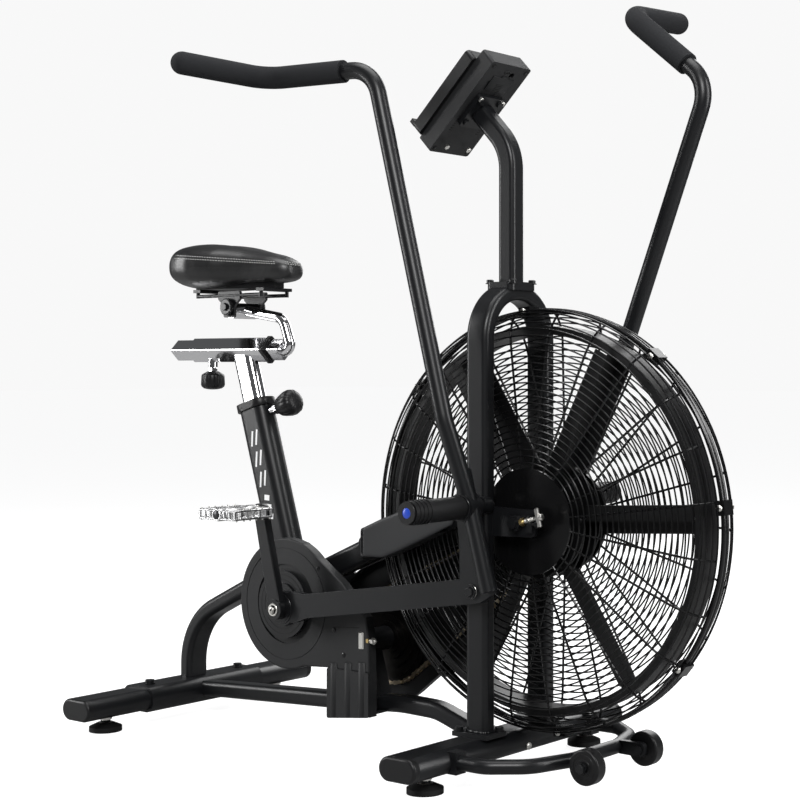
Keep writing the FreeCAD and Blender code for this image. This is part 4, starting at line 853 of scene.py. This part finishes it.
def stitch_row(name, h):
    vs, fs = [], []
    for p, t, nrm in resample(seam(h), 0.0052):
        s_ = t.cross(nrm).normalized()
        k = len(vs)
        for f_, r_ in ((-0.0017, 0.00015), (-0.0013, 0.00052), (0, 0.00066), (0.0013, 0.00052), (0.0017, 0.00015)):
            for i in range(8):
                a_ = 2 * math.pi * i / 8
                vs.append(p + t * f_ + (s_ * math.cos(a_) * 1.25 + nrm * math.sin(a_) * 0.8) * r_)
        for j in range(4):
            for i in range(8):
                l_ = (i + 1) % 8
                fs.append([k + j * 8 + i, k + j * 8 + l_, k + (j + 1) * 8 + l_, k + (j + 1) * 8 + i])
    raw(name, "saddle", M_THREAD, vs, fs)


def piping(name, h, r_, material):
    loop = resample(seam(h, 0.0), 0.003)
    vs, fs = [], []
    n = len(loop)
    for p, t, nrm in loop:
        s_ = t.cross(nrm).normalized()
        for i in range(10):
            a_ = 2 * math.pi * i / 10
            vs.append(p + (s_ * math.cos(a_) + nrm * math.sin(a_)) * r_)
    for j in range(n):
        for i in range(10):
            l_, m_ = (i + 1) % 10, (j + 1) % n
            fs.append([j * 10 + i, j * 10 + l_, m_ * 10 + l_, m_ * 10 + i])
    raw(name, "saddle", material, vs, fs)


stitch_row("saddle_stitch_upper", 0.80)
stitch_row("saddle_stitch_lower", 0.72)
piping("saddle_piping", 0.76, 0.0011, M_VINYL2)
cut_z = W(0, 0, 872).z
for p_ in sad.data.polygons:
    if p_.center.z < cut_z:
        p_.material_index = 1

for b_ in list(Batch.all.values()):
    if b_.v:
        b_.make()

# ------------------------------------------------------------------ soft edges on the sheet-metal and moulded parts
def soften(names, width, seg=2, angle=34):
    for n_ in names.split():
        o_ = NODES[n_]
        w_ = o_.modifiers.new("weld", "WELD")
        w_.merge_threshold = 0.00001
        b_ = o_.modifiers.new("bevel", "BEVEL")
        b_.width = width
        b_.segments = seg
        b_.limit_method = "ANGLE"
        b_.angle_limit = math.radians(angle)
        b_.harden_normals = False
        b_.use_clamp_overlap = True


def reskin(name, voxel, it):
    o_ = NODES[name]
    r_ = o_.modifiers.new("skin", "REMESH")
    r_.mode = "VOXEL"
    r_.voxel_size = voxel
    r_.use_smooth_shade = True
    q_ = o_.modifiers.new("soft", "SMOOTH")
    q_.factor = 0.5
    q_.iterations = it


reskin("yoke_shroud", 0.0018, 32)
soften("console_housing console_bezel", 0.0022, 3, 34)
soften("cover_boot chain_case crank_right crank_left", 0.0012, 2, 34)
soften("link_right link_left front_stabilizer rear_stabilizer slide_collar seat_collar", 0.0008, 2, 40)


#DETAILS_END

# ------------------------------------------------------------------ floor, light, camera
bpy.ops.mesh.primitive_plane_add(size=80, location=(0, 0, 0))
floor = bpy.context.object
floor.name = "studio_floor"
fm = bpy.data.materials.new("floor_pale")
fm.use_nodes = True
fm.node_tree.nodes["Principled BSDF"].inputs["Base Color"].default_value = (0.34, 0.34, 0.34, 1)
fm.node_tree.nodes["Principled BSDF"].inputs["Emission Color"].default_value = (1, 1, 1, 1)
flp = fm.node_tree.nodes.new("ShaderNodeLightPath")
fmul = fm.node_tree.nodes.new("ShaderNodeMath")
fmul.operation = "MULTIPLY"
fmul.inputs[1].default_value = 0.9
fm.node_tree.links.new(flp.outputs["Is Camera Ray"], fmul.inputs[0])
fm.node_tree.links.new(fmul.outputs[0], fm.node_tree.nodes["Principled BSDF"].inputs["Emission Strength"])
fm.node_tree.nodes["Principled BSDF"].inputs["Specular IOR Level"].default_value = 0.15
fm.node_tree.nodes["Principled BSDF"].inputs["Roughness"].default_value = 0.7
floor.data.materials.append(fm)

world = bpy.data.worlds.new("studio") if not bpy.context.scene.world else bpy.context.scene.world
bpy.context.scene.world = world
world.use_nodes = True
bg = world.node_tree.nodes.get("Background") or world.node_tree.nodes.new("ShaderNodeBackground")
bg.inputs["Color"].default_value = (0.95, 0.97, 1.0, 1)
bg.inputs["Strength"].default_value = 0.12
nt = world.node_tree
lp = nt.nodes.new("ShaderNodeLightPath")
bg2 = nt.nodes.new("ShaderNodeBackground")
bg2.inputs["Color"].default_value = (0.94, 0.94, 0.94, 1)
bg2.inputs["Strength"].default_value = 1.0
mixw = nt.nodes.new("ShaderNodeMixShader")
outw = [n for n in nt.nodes if n.type == "OUTPUT_WORLD"][0]
nt.links.new(lp.outputs["Is Camera Ray"], mixw.inputs[0])
nt.links.new(bg.outputs[0], mixw.inputs[1])
nt.links.new(bg2.outputs[0], mixw.inputs[2])
nt.links.new(mixw.outputs[0], outw.inputs["Surface"])


def area(name, loc, target, size, power, size_y=None):
    l = bpy.data.lights.new(name, "AREA")
    l.energy = power
    l.size = size
    if size_y:
        l.shape = "RECTANGLE"
        l.size_y = size_y
    o = bpy.data.objects.new(name, l)
    bpy.context.scene.collection.objects.link(o)
    o.location = loc
    o.rotation_euler = (Vector(target) - Vector(loc)).to_track_quat("-Z", "Y").to_euler()
    return o


area("key_light", (2.2, -3.0, 3.0), (0, 0, 0.6), 1.3, 150)
area("left_strip", (-3.0, -2.0, 1.6), (0, 0, 0.7), 0.6, 95, 2.6)
area("right_strip", (3.0, 0.9, 1.7), (0.1, 0, 0.7), 0.6, 80, 2.6)
area("back_light", (-1.0, 3.2, 2.2), (0, 0, 0.7), 2.4, 75)
area("top_light", (0, 0, 3.8), (0, 0, 0), 2.4, 90)
bpy.context.scene.view_settings.view_transform = "Standard"
bpy.context.scene.view_settings.look = "None"

cam_d = bpy.data.cameras.new("photo_camera")
cam = bpy.data.objects.new("photo_camera", cam_d)
bpy.context.scene.collection.objects.link(cam)
cam_d.sensor_width = 36
cam_d.lens = 1695.51 * 36 / 800
CAM = W(1802.64, -2262.62, 681.91)
cam.location = CAM
cam.rotation_euler = (math.radians(90), 0, math.radians(35.7912))
cam_d.clip_end = 100


def shift_driver(path, value):
    """the lens shift belongs to this one viewpoint"""
    fc = cam_d.driver_add(path)
    d = fc.driver
    d.type = "SCRIPTED"
    v = d.variables.new()
    v.name = "cx"
    v.type = "TRANSFORMS"
    v.targets[0].id = cam
    v.targets[0].transform_type = "LOC_X"
    v.targets[0].transform_space = "WORLD_SPACE"
    d.expression = "%r if abs(cx - %r) < 0.002 else 0.0" % (value, round(CAM.x, 5))


shift_driver("shift_x", -192.69 / 800)
shift_driver("shift_y", -32.92 / 800)
bpy.context.scene.camera = cam
